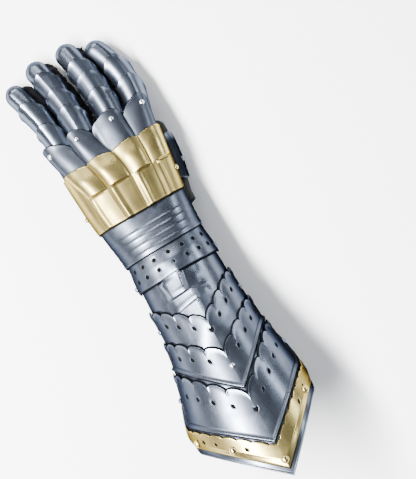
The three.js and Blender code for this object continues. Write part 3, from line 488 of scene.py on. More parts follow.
class Sheet:
    """A plate from four functions: a surface of angle, place and height; the angle phi; the place along the
    arm; and the level above the limb. The stops us and vs are values that get rows of their own."""

    def __init__(self, name, surface, phi, along, level, us, vs, thick=STEEL, around=False,
                 holes=(), groove=None, ridge=None, side_shade=None, step=1.5, lips=(0, 0)):
        self.surface, self.phi, self.along, self.level, self.thick = surface, phi, along, level, thick
        self.name, self.holes, self.lips = name, holes, lips
        self.groove, self.ridge, self.side_shade = groove, ridge, side_shade
        us = spread(lambda u: self.at(u, np.full_like(u, 0.45), thick), us, step, not around)
        vs = spread(lambda v: self.at(np.zeros_like(v), v, thick), vs, step)
        self.build(us, vs, around)

    def at(self, u, v, out):
        y = self.along(u, v)
        return self.surface(self.phi(u, y), y, self.level(u, v, y) + out)

    def millimetres(self, u, v, out):
        """How many millimetres one unit of u and one unit of v cover at a place."""
        u, v = np.array([u]), np.array([v])
        across = np.linalg.norm(self.at(u + NEAR, v, out) - self.at(u - NEAR, v, out)) / (2 * NEAR)
        along = np.linalg.norm(self.at(u, v + NEAR, out) - self.at(u, v - NEAR, out)) / (2 * NEAR)
        return across, along

    def bevel(self, points, front, rear):
        """How far the inner face reaches beyond the outer one, square to its front and rear edges."""
        across = np.gradient(points, axis=1)
        along = np.gradient(points, axis=0)
        normal = unit(np.cross(across, along))
        ahead = unit(np.cross(normal, across))
        ahead *= -np.sign((ahead * along).sum(-1, keepdims=True))
        reach = self.lips[0] * np.maximum(0, 1 - front / BEVEL_WIDTH)
        reach = reach - self.lips[1] * np.maximum(0, 1 - rear / BEVEL_WIDTH)
        return (ahead * reach[..., None]).reshape(-1, 3)

    def rings(self, us, vs, index, solid):
        """Takes each hole's patch out of the grid, and fills it with rings of points down to its circle."""
        faces, fresh_points = [], []
        for hole_u, hole_v, diameter in self.holes:
            radius = diameter / 2
            room = radius + HOLE_ROOM
            across, along = self.millimetres(hole_u, hole_v, 1)
            low_column = np.searchsorted(us, hole_u - room / across) - 1
            high_column = np.searchsorted(us, hole_u + room / across)
            low_row = np.searchsorted(vs, hole_v - room / along) - 1
            high_row = np.searchsorted(vs, hole_v + room / along)
            solid[low_row:high_row, low_column:high_column] = False
            path = outline(low_row, high_row, low_column, high_column)
            ring = [index[corner] for corner in path]
            angles = [math.atan2((vs[r] - hole_v) * along, (us[c] - hole_u) * across) for r, c in path]
            for out in (SOFT, RIM_ROWS[1], RIM_ROWS[0], 0):
                start = index.size + len(fresh_points)
                for angle in angles:
                    fresh_u = hole_u + (radius + out) * math.cos(angle) / across
                    fresh_v = hole_v + (radius + out) * math.sin(angle) / along
                    fresh_points.append((fresh_u, fresh_v, out))
                faces += [[ring[k], ring[n], start + n, start + k] for k, n in neighbours(len(ring))]
                ring = list(range(start, start + len(ring)))
        return faces, np.array(fresh_points).reshape(-1, 3)

    def build(self, us, vs, around):
        columns, rows = len(us), len(vs)
        u = np.tile(us, rows)
        v = np.repeat(vs, columns)
        points = self.at(u, v, self.thick).reshape(rows, columns, 3)
        front = lengths(points, 0)
        rear = front[-1] - front
        distance = np.minimum(front, rear)
        if not around:
            side = lengths(points, 1)
            distance = np.minimum(distance, np.minimum(side, side[:, -1:] - side))
        # painted shade along a cut edge, for the shadow under it
        cut = (self.lips[0] > 0) * np.exp(-((front / CUT_LINE) ** 2))
        cut = cut + (self.lips[1] > 0) * np.exp(-((rear / CUT_LINE) ** 2))

        index = np.arange(rows * columns).reshape(rows, columns)
        if around:
            index[:, -1] = index[:, 0]
        solid = np.ones((rows - 1, columns - 1), bool)
        ring_faces, fresh = self.rings(us, vs, index, solid)
        cells = np.stack([index[:-1, :-1], index[:-1, 1:], index[1:, 1:], index[1:, :-1]], -1)[solid]
        faces = np.array(cells.tolist() + ring_faces)
        used = np.unique(faces)
        number = np.full(index.size + len(fresh), -1)
        number[used] = np.arange(len(used))

        u = np.concatenate([u, fresh[:, 0]])[used]
        v = np.concatenate([v, fresh[:, 1]])[used]
        distance = np.concatenate([distance.ravel(), fresh[:, 2]])[used]
        cut = np.concatenate([cut.ravel(), np.exp(-((fresh[:, 2] / HOLE_LINE) ** 2))])[used]
        plain = np.concatenate([np.ones(index.size), np.zeros(len(fresh))])[used]
        bevel = np.concatenate([self.bevel(points, front, rear), np.zeros((len(fresh), 3))])[used]
        outer = self.at(u, v, self.thick - sunk(distance))
        inner = self.at(u, v, 0.5 * sunk(distance)) + bevel
        whole = close_grid(len(used), number[faces], outer, inner)

        y = self.along(u, v)
        # painted highlight along each rim, except where a cut edge or a hole is painted dark
        edge = np.exp(-((distance / BRIGHT_LINE) ** 2)) * (1 - cut) * plain
        # a ridge function adds a painted highlight, as along the keel
        if self.ridge:
            edge = np.maximum(edge, self.ridge(u, v, y))
        mark = self.groove(u, v, y) if self.groove else np.zeros_like(u)
        mark = np.clip(np.maximum(mark, cut), 0, 1)
        # painted shade down the sides
        dark = self.side_shade(u, v) if self.side_shade else side_shade_of(self.phi(u, y))
        # the inner face is all groove, so that painted shade keeps it black
        attributes = {"edge": np.concatenate([edge, 0 * edge]),
                      "groove": np.concatenate([mark, 0 * mark + 1]),
                      "side_shade": np.concatenate([dark, dark])}
        self.mesh = (np.concatenate([outer, inner]), whole.tolist(), attributes)

    def show(self, material):
        points, faces, attributes = self.mesh
        piece = place(self.name + "_fine", points, faces, material, attributes)
        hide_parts(self.name)
        print(self.name, len(faces), "faces")


# the bright band along a sheet's edges is a painted highlight
print("a sheet's edges are rubbed bright for", BRIGHT_LINE, "mm")

# %% Two shapes that most plates use
def even(reach):
    """Angles that run evenly from the back's middle to the reach on each side, which is in degrees."""
    return lambda u, y: np.radians(np.where(u < 0, u * reach[0], u * reach[1]))


def bump(distance, half):
    """A rounded rise, 1 high in the middle and gone half its width to each side."""
    return np.cos(np.clip(distance / half, -1, 1) * math.pi / 2) ** 2


print("a bump halfway down its side is", round(float(bump(0.5, 1)), 2), "high")

# %% [markdown]
# ## The cuff
# The cuff is a steel base plate with a brass border, then three lames that point back along the arm. Each
# lame's front edge is cut in scallops, with a hole behind each one, and lies over the next lame towards the
# hand. Where a lame covers another it stands off by the sheet's thickness, so its height rises towards its
# free edge. The rise is worked out from the overlap, as an armourer would shim it.

# %% Cuff edges and heights
CUFF_REACH = (100, 100)
CORNER_START, CORNER_DEPTH = 68, 32
# how far the sides of each edge lie ahead of its point
BORDER_REAR_FALL, BORDER_FALL, LAME_3_FALL, LAME_2_FALL, LAME_1_FALL = 58, 53, 50, 36, 34
BORDER_LAP = 0.56
BORDER_KNEE = 0.64
SCALLOP, BORDER_SCALLOP = 5, 1.8
BEAD, BEAD_HALF = 1.6, 2.6


def corner(u):
    """The cuff's rear edge is rounded forwards at its two ends."""
    beyond = (np.abs(CUFF_REACH[0] * u) - CORNER_START) / (CUFF_REACH[0] - CORNER_START)
    return CORNER_DEPTH * np.maximum(0, beyond) ** 2


def pointed(middle, fall):
    return lambda u: middle + fall * np.abs(np.sin(np.radians(CUFF_REACH[0] * u)))


def base_rear(u):
    return pointed(0, BORDER_REAR_FALL)(u) + corner(u)


def border_rear(u):
    return pointed(BORDER_REAR, BORDER_REAR_FALL)(u) + corner(u)


def border_front(u):
    return pointed(BORDER_FRONT, BORDER_FALL)(u) + corner(u)


def lame_3_front(u):
    return np.maximum(pointed(LAME_3_FRONT, LAME_3_FALL)(u), border_front(u) + OVERLAP)


lame_2_front = pointed(LAME_2_FRONT, LAME_2_FALL)
lame_1_front = pointed(LAME_1_FRONT, LAME_1_FALL)


def bowed(middle):
    return lambda u: middle + 6 * u * u


def lame_1_rear(u):
    return lame_2_front(u) - OVERLAP


def lame_2_rear(u):
    return lame_3_front(u) - OVERLAP


def lame_3_rear(u):
    return border_front(u) - BORDER_LAP * (border_front(u) - border_rear(u))


def keeled_rear(u):
    return lame_1_front(u) - OVERLAP


STEP_LINES = [LAME_1_FRONT + share * (BAND_REAR - LAME_1_FRONT) for share in (0.63, 0.32)]
KEELED_STEP = 0.5


def keeled_steps(u, y):
    """The keeled plate's two steps as the CAD has them, which the first lame has to clear."""
    fade = 1 - smooth(0.35, 0.6, np.abs(u))
    return KEELED_STEP * fade * sum(smooth(line, line + 0.01, y) for line in STEP_LINES)


def rise_over(under_front, under_rear, under_level, front, rear, lift, low):
    """How much a lame rises from its rear to its front edge to clear the one under it."""
    u = np.linspace(-1, 1, 17)
    rise = 0
    for y in (front(u) + low, under_rear(u)):
        share = (front(u) - y) / (front(u) - rear(u))
        under_share = (under_front(u) - y) / (under_front(u) - under_rear(u))
        need = under_level(u, under_share, y) + STEP + SLACK - GAP - lift
        rise = max(rise, float(np.max(need / (1 - share))))
    return rise


rise_1 = rise_over(bowed(BAND_REAR), keeled_rear, lambda u, v, y: GAP + keeled_steps(u, y),
                   lame_1_front, lame_1_rear, 0, SCALLOP)
rise_2 = rise_over(lame_1_front, lame_1_rear, lambda u, v, y: GAP + rise_1 * (1 - v),
                   lame_2_front, lame_2_rear, 0, SCALLOP)
lift_3 = STEP + SLACK
rise_3 = rise_over(lame_2_front, lame_2_rear, lambda u, v, y: GAP + rise_2 * (1 - v),
                   lame_3_front, lame_3_rear, lift_3, SCALLOP)
lift_border = 2 * (STEP + SLACK)
rise_border = rise_over(lame_3_front, lame_3_rear, lambda u, v, y: GAP + lift_3 + rise_3 * (1 - v),
                        border_front, border_rear, lift_border, BORDER_SCALLOP)
print("rises", [round(r, 2) for r in (rise_1, rise_2, rise_3, rise_border)])

# %% [markdown]
# ### The turned edge
# A cuff's rear edge is turned over a wire, so that it neither cuts nor bends. A swept tube could stand for
# it, but would look laid on. Here the plate's own level rises in a small bead with a low line in front of it,
# so the edge stays part of the sheet.

# %% The base plate
TURN = 2.4  # width of the turned edge


def straight(front, rear):
    return lambda u, v: front(u) + (rear(u) - front(u)) * v


def base_front(u):
    return np.minimum(border_front(u) + OVERLAP, lame_2_rear(u) - GAP)


def base_level(u, v, y):
    return GAP + 0.45 * bump(y - base_rear(u) - 0.9, 1.0) - 0.12 * bump(y - base_rear(u) - TURN, 0.6)


# painted shade along the low line in front of the turned edge
def base_groove(u, v, y):
    return bump(y - base_rear(u) - TURN, 0.7)


base_rows = [0, 0.5, 0.9, 0.92, 0.94, 0.955, 0.965, 0.975, 0.985, 1]
base = Sheet("cuff_base_plate", limb, even(CUFF_REACH), straight(base_front, base_rear), base_level,
             [-1, 0, 1], base_rows, groove=base_groove)
base.show(steel)

# %% [markdown]
# ### Scalloped lames
# Each lame is cut in a row of arcs, filed to a bevel, and dressed up a little along its free edge. A curve
# for the outline would need a mesh filled to it. On a grid the arcs only move the points that are near the
# edge. The bevel is the inner face reaching out past the outer one, kept black as painted shade.

# %% The three scalloped lames
LIP = 1.6  # the bevel reaches this far beyond the outer face
FLARE, FLARE_WIDTH = 0.7, 5  # a free edge is dressed up by this much
SCALLOP_FADE = 9  # points this near the edge follow its arcs
CUFF_HOLE = 4


def scallop(u, count, depth):
    across = 2 * (((u + 1) * count / 2) % 1) - 1
    return depth * np.sqrt(np.maximum(0, 1 - across * across))


def notches(count, between=(0.03, 0.1, 0.22, 0.5, 0.78, 0.9, 0.97)):
    """Stops across a scalloped edge: every notch, and places round each arc."""
    stops = [2 * (i + share) / count - 1 for i in range(count) for share in (0, *between)]
    return [*stops, 1]


def scalloped_lame(name, front, rear, count, rise, lift, bead, holes):
    """A lame. Its v runs from the front edge to the bead at 0.5, over it to 0.7, and on to the rear."""
    def start(u):
        return bead(u) + BEAD_HALF if bead else (front(u) + rear(u)) / 2

    def along(u, v):
        ahead = front(u) + 2 * v * (start(u) - front(u))
        bead_part = start(u) - (v - 0.5) * 10 * BEAD_HALF
        rear_part = start(u) - 2 * BEAD_HALF + (rear(u) - start(u) + 2 * BEAD_HALF) * (v - 0.7) / 0.3
        y = np.where(v <= 0.5, ahead, np.where(v <= 0.7, bead_part, rear_part))
        fade = np.maximum(0, 1 - (front(u) - y) / SCALLOP_FADE) ** 2
        return y + scallop(u, count, SCALLOP) * fade

    def level(u, v, y):
        share = np.clip((front(u) - y) / (front(u) - rear(u)), 0, 1)
        raised = BEAD * bump(y - bead(u), BEAD_HALF) if bead else 0
        from_edge = np.maximum(0, front(u) + scallop(u, count, SCALLOP) - y)
        flare = FLARE * np.maximum(0, 1 - from_edge / FLARE_WIDTH) ** 2
        return GAP + lift + rise * (1 - share) + raised + flare

    # painted shade in the low lines on both sides of the bead
    def groove(u, v, y):
        if not bead:
            return 0 * u
        return 0.8 * (bump(y - bead(u) - BEAD_HALF, 0.8) + bump(y - bead(u) + BEAD_HALF, 0.8))

    rows = [0, 0.5, 0.52, 0.54, 0.56, 0.58, 0.6, 0.62, 0.64, 0.66, 0.68, 0.7, 1]
    places = []
    for notch, inset in holes:
        u = 2 * notch / count
        places.append((u, inset / (2 * (front(u) - start(u))), CUFF_HOLE))
    sheet = Sheet(name, limb, even(CUFF_REACH), along, level, notches(count), rows,
                  holes=places, groove=groove, lips=(LIP, 0))
    sheet.show(steel)
    return sheet


lame_1 = scalloped_lame("scalloped_lame_1", lame_1_front, lame_1_rear, 12, rise_1, 0, None,
                        [(notch, 9) for notch in range(-3, 4)])
lame_2 = scalloped_lame("scalloped_lame_2", lame_2_front, lame_2_rear, 12, rise_2, 0,
                        lambda u: lame_3_front(u) + SCALLOP + BEAD_HALF + 2,
                        [(notch, 9) for notch in (-4, -3, -2, -1, 1, 2, 3, 4)])
lame_3 = scalloped_lame("scalloped_lame_3", lame_3_front, lame_3_rear, 14, rise_3, lift_3,
                        lambda u: border_front(u) + BORDER_SCALLOP + BEAD_HALF + 1,
                        [(notch, 13) for notch in range(-4, 5)])

# %% [markdown]
# ### The brass border
# A strip of brass frames the cuff. It lies over the last lame's rear edge and steps down behind it to the
# base plate, which a flat strip couldn't follow. So its level falls between two heights behind a knee, where
# the rows of points are listed. Its small scallops are shallow, as shears and a file leave them.

# %% The brass border
BORDER_COUNT = 21
BORDER_FADE = 5
BORDER_HOLE = 3.4


def border_level(u, v, y):
    low = GAP + STEP + SLACK
    high = GAP + lift_border
    down = low + (high - low) * (1 - v) / (1 - BORDER_KNEE)
    return np.where(v > BORDER_KNEE, down, high + rise_border * (1 - v))


def border_along(u, v):
    y = straight(border_front, border_rear)(u, v)
    fade = np.maximum(0, 1 - (border_front(u) - y) / BORDER_FADE) ** 2
    return y + scallop(u, BORDER_COUNT, BORDER_SCALLOP) * fade


border_holes = [(u, 0.42, BORDER_HOLE) for u in (-0.74, -0.52, -0.41, -0.2, 0.36, 0.5, 0.72)]
border = Sheet("brass_border", limb, even(CUFF_REACH), border_along, border_level,
               notches(BORDER_COUNT, (0.05, 0.15, 0.5, 0.85, 0.95)), [0, 0.6, 0.64, 0.68, 1],
               holes=border_holes, step=1.3, lips=(0.7, 0.5))
border.show(brass)

# %% [markdown]
# ## The wrist
# The keeled plate is one sheet with a crisp ridge, two low steps that fall back from it, and a slanting fold.
# Sculpting could press these in, but would blur them. Each is a function of the distance from a line instead,
# and rows of points are set close to the steps. The ridge itself shifts a little sideways at the first step,
# as hammer work does.

# %% The keeled plate
keeled_front = bowed(BAND_REAR + OVERLAP)
KEEL_BEAD = 0.02  # half the width of the bead along the keel, as a share of the plate's half
SHOWN_STEPS = ((184, 2), (173, 10))  # where each step lies at the keel, and how much it falls back
FOLD_RISE, FOLD_STEEP, FOLD_GENTLE = 1.1, 2.2, 14  # the fold's height, and how wide its two sides are


def keel_jog(y):
    """The keel in degrees off the middle line: it shifts to the little finger's side at the first step."""
    return 3.2 - 7.0 * smooth(182.5, 185.5, y) + 3.0 * smooth(186, 205, y)


def keeled_surface(phi, y, off):
    points = bare_limb(phi, y, off)
    shift = keel_jog(y) * smooth(LAME_1_FRONT - 4, LAME_1_FRONT + 8, y)
    points[..., 2] += keel(phi - np.radians(shift), y)
    return points


def keeled_phi(u, y):
    return np.radians(CUFF_REACH[1] * u + keel_jog(y) * bump(u, 0.25))


def keeled_fade(u):
    return np.where(u < 0, 1 - smooth(0.2, 0.34, -u), 1 - smooth(0.01, 0.04, u))


def step_distance(u, y, step):
    """How far a point lies in front of a step, in millimetres."""
    return y - step[0] + step[1] * np.abs(u)


def keeled_fold(u, y):
    """A slanting fold, steep on the little finger's side and gentle on the thumb's."""
    off_fold = 63 * (u + 0.3 + (y - 204.5) / 210)
    steep = np.maximum(0, 1 + off_fold / FOLD_STEEP)
    gentle = np.maximum(0, 1 - off_fold / FOLD_GENTLE)
    fold = np.where(off_fold < 0, steep, gentle)
    return FOLD_RISE * fold * smooth(183, 190, y) * (1 - smooth(199, 204, y))


def keeled_level(u, v, y):
    steps = sum(smooth(0, 0.7, step_distance(u, y, step)) for step in SHOWN_STEPS)
    lips = sum(bump(step_distance(u, y, step) - 3, 4) for step in SHOWN_STEPS)
    dents = 0.5 * bump(u - 0.17, 0.12) * (bump(y - 192, 7) + bump(y - 177, 6))
    bead = 0.5 * bump(u, KEEL_BEAD) * smooth(LAME_1_FRONT, LAME_1_FRONT + 8, y)
    pressed = keeled_fade(u) * (2.0 * KEELED_STEP * steps + 0.3 * lips * (u < 0))
    return GAP + pressed + dents + keeled_fold(u, y) + bead


# painted shade along the foot of each step
def keeled_groove(u, v, y):
    return keeled_fade(u) * sum(bump(step_distance(u, y, step) + 0.1, 1.3) for step in SHOWN_STEPS)


# painted highlight along the bead on the keel
def keel_highlight(u, v, y):
    return bump(u, KEEL_BEAD) * smooth(LAME_1_FRONT, LAME_1_FRONT + 8, y)


def keeled_stops():
    """Stops along the plate, close together at each step."""
    length = keeled_front(0) - keeled_rear(0)
    places = [line + d for line, _ in SHOWN_STEPS
              for d in (2, 1.4, 0.9, 0.6, 0.3, 0, -0.4, -0.9, -1.6, -2.4, -3.2, -4)]
    return sorted({0, 1, *((keeled_front(0) - y) / length for y in places)})


def keeled_along(u, v):
    middle = keeled_front(0) + (keeled_rear(0) - keeled_front(0)) * v
    share = smooth(0.72, 1.0, v)
    return middle + (keeled_front(u) - keeled_front(0)) * (1 - v) + (keeled_rear(u) - keeled_rear(0)) * share


keeled = Sheet("keeled_wrist_plate", keeled_surface, keeled_phi, keeled_along, keeled_level,
               [-1, -0.02, -0.012, -0.006, 0, 0.006, 0.012, 0.02, 1], keeled_stops(), groove=keeled_groove,
               ridge=keel_highlight, step=1.0)
keeled.show(steel)

# %% [markdown]
# ### The punched band
# A plain strip covers the joint between two plates, and punched holes are its only ornament. A loop sets them
# out in three rows: seven holes, nine, and two more on the little finger's side. The band climbs over the
# keeled plate's front edge, so its level has two stops, and painted shade darkens its free rear edge.

# %% The punched band
band_front = bowed(RIDGED_REAR + OVERLAP)
band_rear = bowed(BAND_REAR)
BAND_TOP = GAP + 2 * KEELED_STEP + STEP + SLACK
BAND_LENGTH = RIDGED_REAR - BAND_REAR + OVERLAP
BAND_HOLE, HOLE_SPACING, ROW_SPACING = 3.6, 0.195, 10.5


def band_level(u, v, y):
    return GAP + (BAND_TOP - GAP) * np.minimum(1, v / 0.65)


band_holes = []
for row, places in ((1, range(-3, 4)), (2, range(-4, 5)), (3, range(-4, -2))):
    for i in places:
        band_holes.append((i * HOLE_SPACING, 1 - (row * ROW_SPACING - 1) / BAND_LENGTH, BAND_HOLE))
band = Sheet("punched_wrist_band", limb, even(CUFF_REACH), straight(band_front, band_rear), band_level,
             [-1, -0.02, 0, 0.02, 1], [0, 0.65, 1], holes=band_holes, lips=(0, 0.9))
band.show(steel)

# %% [markdown]
# ### The ridged plate
# Four low ridges are pressed across the plate on the back of the hand, so that one sheet looks like several
# lames. They could be modelled one by one, but a sum of rounded rises along the plate makes them all. A dark
# line of painted shade runs behind each ridge.

# %% The ridged plate
ridged_front = bowed(BRASS_REAR + OVERLAP)
ridged_rear = bowed(RIDGED_REAR)
RIDGES = (0.09, 0.27, 0.45, 0.62)
RIDGED_REACH = (99, 78)
RIDGED_SHOWN = BRASS_REAR - RIDGED_REAR
RIDGED_FLAT = OVERLAP / (RIDGED_SHOWN + OVERLAP)


def ridge_place(u, y):
    return (y - 6 * u * u - RIDGED_REAR) / RIDGED_SHOWN


def ridged_level(u, v, y):
    ridges = sum(bump(ridge_place(u, y) - ridge, 0.05) for ridge in RIDGES)
    rise = BAND_TOP - GAP + 0.3 * STEP
    return GAP + rise * np.maximum(0, (v - RIDGED_FLAT) / (1 - RIDGED_FLAT)) + 0.22 * ridges


# painted shade in a thin line behind each ridge
def ridged_groove(u, v, y):
    return 0.28 * sum(bump(ridge_place(u, y) - ridge + 0.055, 0.02) for ridge in RIDGES) * bump(u - 0.1, 0.9)


ridged = Sheet("ridged_hand_plate", limb, even(RIDGED_REACH), straight(ridged_front, ridged_rear),
               ridged_level, [-1, 0, 1], [0, 1], groove=ridged_groove, step=0.8, lips=(0, 0.6))
ridged.show(steel)

# %% [markdown]
# ## The knuckles
# A brass plate covers the knuckles. Its front half is beaten into four bosses that end in a step, and narrow
# flutes run on behind them. Under its front edge lies a steel plate cut in four lobes, one for each finger's
# root. Both follow grooves that fan out towards the fingers, so columns of points follow the grooves too.

# %% Grooves between the knuckles
# each groove's angle at the plates' rear and at the fingers, in shares of a quarter turn
GROOVES = [(-0.52, -0.97), (-0.19, -0.33), (0.04, -0.05), (0.33, 0.25), (0.76, 0.82)]
GROOVE_PLACES = np.array([-0.6, -0.25, 0.02, 0.35, 0.75])  # and its u
LOBE_NOTCH = 14
KNUCKLE_REACH = (97, 76)


def knuckle_angle(u, y):
    fan = smooth((BRASS_REAR + BRASS_FRONT) / 2, LOBES_FRONT, y)
    stops = [-KNUCKLE_REACH[0] + 0 * fan]
    stops += [90 * (near + (far - near) * fan) for near, far in GROOVES]
    stops += [KNUCKLE_REACH[1] + 0 * fan]
    places = [-1, *GROOVE_PLACES, 1]
    angle = 0 * u
    for i in range(len(places) - 1):
        share = (u - places[i]) / (places[i + 1] - places[i])
        inside = (u >= places[i]) & ((u < places[i + 1]) | (i == len(places) - 2))
        angle = np.where(inside, stops[i] + (stops[i + 1] - stops[i]) * share, angle)
    return np.radians(angle)


def knuckle(u, roundness):
    """1 on the middle of each knuckle and 0 in the grooves and beyond them."""
    height = 0 * u
    for low, high in zip(GROOVE_PLACES, GROOVE_PLACES[1:]):
        share = np.clip((u - low) / (high - low), 0, 1)
        height = np.where((u > low) & (u < high), np.sin(math.pi * share) ** roundness, height)
    return height


def crest(u):
    """A narrow rise close to the little finger's side of each knuckle."""
    height = 0 * u
    for low, high in zip(GROOVE_PLACES, GROOVE_PLACES[1:]):
        share = (u - low) / (high - low)
        height = height + bump(share - 0.22, 0.22)
    return height


def groove_near(u, width):
    return sum(bump(u - groove, width) for groove in GROOVE_PLACES)


def knuckle_stops():
    stops = [-1.0, 1.0]
    for groove in GROOVE_PLACES:
        stops += [groove + d for d in (-0.02, -0.01, -0.004, 0, 0.004, 0.01, 0.02)]
    return sorted(stops)


print("grooves at", [round(math.degrees(a)) for a in knuckle_angle(GROOVE_PLACES, 300.0)])

# %% The brass plate
BOSS_END = 0.47
BOSS, FLUTE = 4.4, 2.6
BOSS_ARC = 2.5  # the front edge bows out this far over each knuckle


def brass_along(u, v):
    front = bowed(BRASS_FRONT - 2)(u)
    y = front + (bowed(BRASS_REAR)(u) - front) * v
    return y + BOSS_ARC * knuckle(u, 0.5) * np.maximum(0, 1 - v / 0.12) ** 2


def brass_level(u, v, y):
    boss = BOSS * knuckle(u, 0.7) * (0.8 + 0.2 * smooth(0, 0.22, v))
    flute = FLUTE * (0.35 * knuckle(u, 1.2) + 0.65 * crest(u)) * (1 - 0.25 * smooth(0.75, 0.5, v))
    return GAP + STEP + SLACK + flute + (boss - flute) * (1 - smooth(BOSS_END - 0.02, BOSS_END + 0.012, v))


# painted shade in the grooves between the bosses and along each boss's step
def brass_groove(u, v, y):
    step = bump(v - BOSS_END - 0.018, 0.02) * smooth(0.3, 0.6, knuckle(u, 1))
    return np.clip(0.9 * groove_near(u, 0.022) + step, 0, 1)


def brass_painted_shade(u, v):
    """The bosses get no painted shade, the flutes some, and the sides the most."""
    flutes = 0.3 * smooth(BOSS_END, BOSS_END + 0.03, v)
    return np.maximum(flutes, 0.9 * smooth(0.62, 0.84, u) + 0.7 * smooth(0.6, 0.85, -u))


brass_rows = [0, *(BOSS_END + d for d in (-0.03, -0.02, -0.012, -0.004, 0.004, 0.012, 0.02, 0.03)), 1]
brass_plate = Sheet("brass_knuckle_plate", limb, knuckle_angle, brass_along, brass_level,
                    knuckle_stops(), brass_rows, groove=brass_groove, step=1.0, lips=(0.6, 1.1),
                    side_shade=brass_painted_shade)
brass_plate.show(brass)

# %% [markdown]
# ### The lobed steel plate
# The plate under the brass ends in four lobes, one over each finger's root. They are domed, so that the
# finger lames can slide under them. It shares the grooves with the brass plate, so one function, which says
# how near a point is to a knuckle, shapes both its outline and its domes.

# %% The lobe plate
LOBE = 5


def lobe_along(u, v):
    front = bowed(LOBES_FRONT - LOBE_NOTCH)(np.minimum(u, 0.55))
    y = front + (bowed(BRASS_FRONT - OVERLAP)(u) - front) * v
    return y + LOBE_NOTCH * knuckle(u, 0.5) * np.maximum(0, 1 - v) ** 1.2


def lobe_level(u, v, y):
    height = LOBE * (0.5 + 0.7 * smooth(BRASS_FRONT - OVERLAP, LOBES_FRONT, y))
    flare = 0.6 * np.maximum(0, 1 - v / 0.16) ** 2
    return GAP + np.minimum(height, 1.2 * LOBE) * knuckle(u, 0.7) + flare


# painted shade in the grooves between the lobes
def lobe_groove(u, v, y):
    return np.clip(0.7 * groove_near(u, 0.014), 0, 1)


# painted shade over all the lobes, stronger towards the sides
lobes = Sheet("knuckle_lobe_plate", limb, knuckle_angle, lobe_along, lobe_level,
              knuckle_stops(), [0, 1], groove=lobe_groove, step=1.0, lips=(0.8, 0),
              side_shade=lambda u, v: 0.42 + 0.3 * smooth(0.6, 0.9, np.abs(u)))
lobes.show(steel)

# %% [markdown]
# ## Fingers
# Each digit follows a gentle curve from its root to its tip. Its lames are short sheets round its back, each
# over the one nearer the tip, and the last is a cap that closes over the fingertip. A bent copy of one finger
# would be quicker, but the four differ in length, lean and number of lames, so a table gives each its own.

# %% Digit surface
FINGER_HALF_WIDTH, FINGER_HALF_HEIGHT, DOME = 9.9, 8.6, 9
LAME_KEEL, LAME_KEEL_HALF = 0.7, math.radians(36)
TAPER = 0.06
ROOT = HAND_FRONT + GAP
Digit = namedtuple("Digit", "root tip across lean bow height drop roll girth fronts")
DIGITS = {
    "little": Digit(ROOT, LOBES_FRONT + 76, -0.79 * KNUCKLE_LITTLE, -17, 0, 0.5, 0.26, -22, 0.95,
                    (0.31, 0.69)),
    "ring": Digit(ROOT, LOBES_FRONT + 86, -0.31 * KNUCKLE_LITTLE, -12, 1, 0.7, 0.43, -6, 1,
                  (0.29, 0.535, 0.79)),
    "middle": Digit(ROOT, LOBES_FRONT + 86, 0.31 * KNUCKLE_THUMB, -9, 2, 0.7, 0.43, 5, 1.04,
                    (0.286, 0.523, 0.72)),
    "index": Digit(ROOT, LOBES_FRONT + 75, 0.81 * KNUCKLE_THUMB, -8, 7, 0.5, 0.26, 20, 0.98,
                   (0.33, 0.65)),
    "thumb": Digit(BRASS_REAR + 3, BRASS_FRONT + 14, 0.75 * KNUCKLE_THUMB, 11, 5, 0.33, 0.07, 50,
                   11 / FINGER_HALF_WIDTH, ()),
}


def digit_middle(digit, y):
    """A digit's middle line: it leans and bows sideways, and drops towards its tip."""
    t = np.maximum(0, (y - digit.root) / (digit.tip - digit.root))
    x = digit.across + digit.lean * t * t + digit.bow * np.sin(math.pi * t)
    return np.stack([x, y, KNUCKLE_HEIGHT * (digit.height - digit.drop * t**1.25)], -1)


def digit_surface(name, ridge=0.0):
    digit = DIGITS[name]
    dome = digit.tip - DOME
    roll = math.radians(digit.roll)

    def surface(phi, y, off):
        turn = np.maximum(0, (y - dome) / DOME * math.pi / 2)
        along = np.where(y > dome, dome + (DOME + off) * np.sin(turn), y)
        off = off + ridge * np.maximum(0, 1 - np.abs(phi) / LAME_KEEL_HALF)
        middle = digit_middle(digit, along)
        ahead = unit(digit_middle(digit, along + 1) - middle)
        level_side = unit(np.cross(ahead, np.array([0.0, 0.0, 1.0])))
        level_rise = np.cross(level_side, ahead)
        side = level_side * math.cos(roll) + np.cross(ahead, level_side) * math.sin(roll)
        rise = level_rise * math.cos(roll) + np.cross(ahead, level_rise) * math.sin(roll)
        taper = 1 - TAPER * np.clip((along - digit.root) / (digit.tip - digit.root), 0, 1)
        closing = np.where(y > dome, np.cos(turn), 1)
        width = (digit.girth * FINGER_HALF_WIDTH * taper + off) * closing
        depth = (digit.girth * FINGER_HALF_HEIGHT * taper + off) * closing
        return middle + side * (width * np.sin(phi))[..., None] + rise * (depth * np.cos(phi))[..., None]

    return surface


for name, digit in DIGITS.items():
    print(name, "tip", [round(float(c)) for c in digit_middle(digit, digit.tip)])

# %% Finger lames
FINGER_REACH = 96
FINGER_OVERLAP = 5
LITTLE_SWEEP, THUMB_SWEEP = 8, 16
REAR_SWEEP = 0.85  # a rear edge falls back a little less than a front edge


def fall_back(u):
    """The front edges are arched, and sweep further back on the thumb's side."""
    return np.where(u < 0, LITTLE_SWEEP, THUMB_SWEEP) * (1 - np.cos(np.radians(FINGER_REACH * u)))


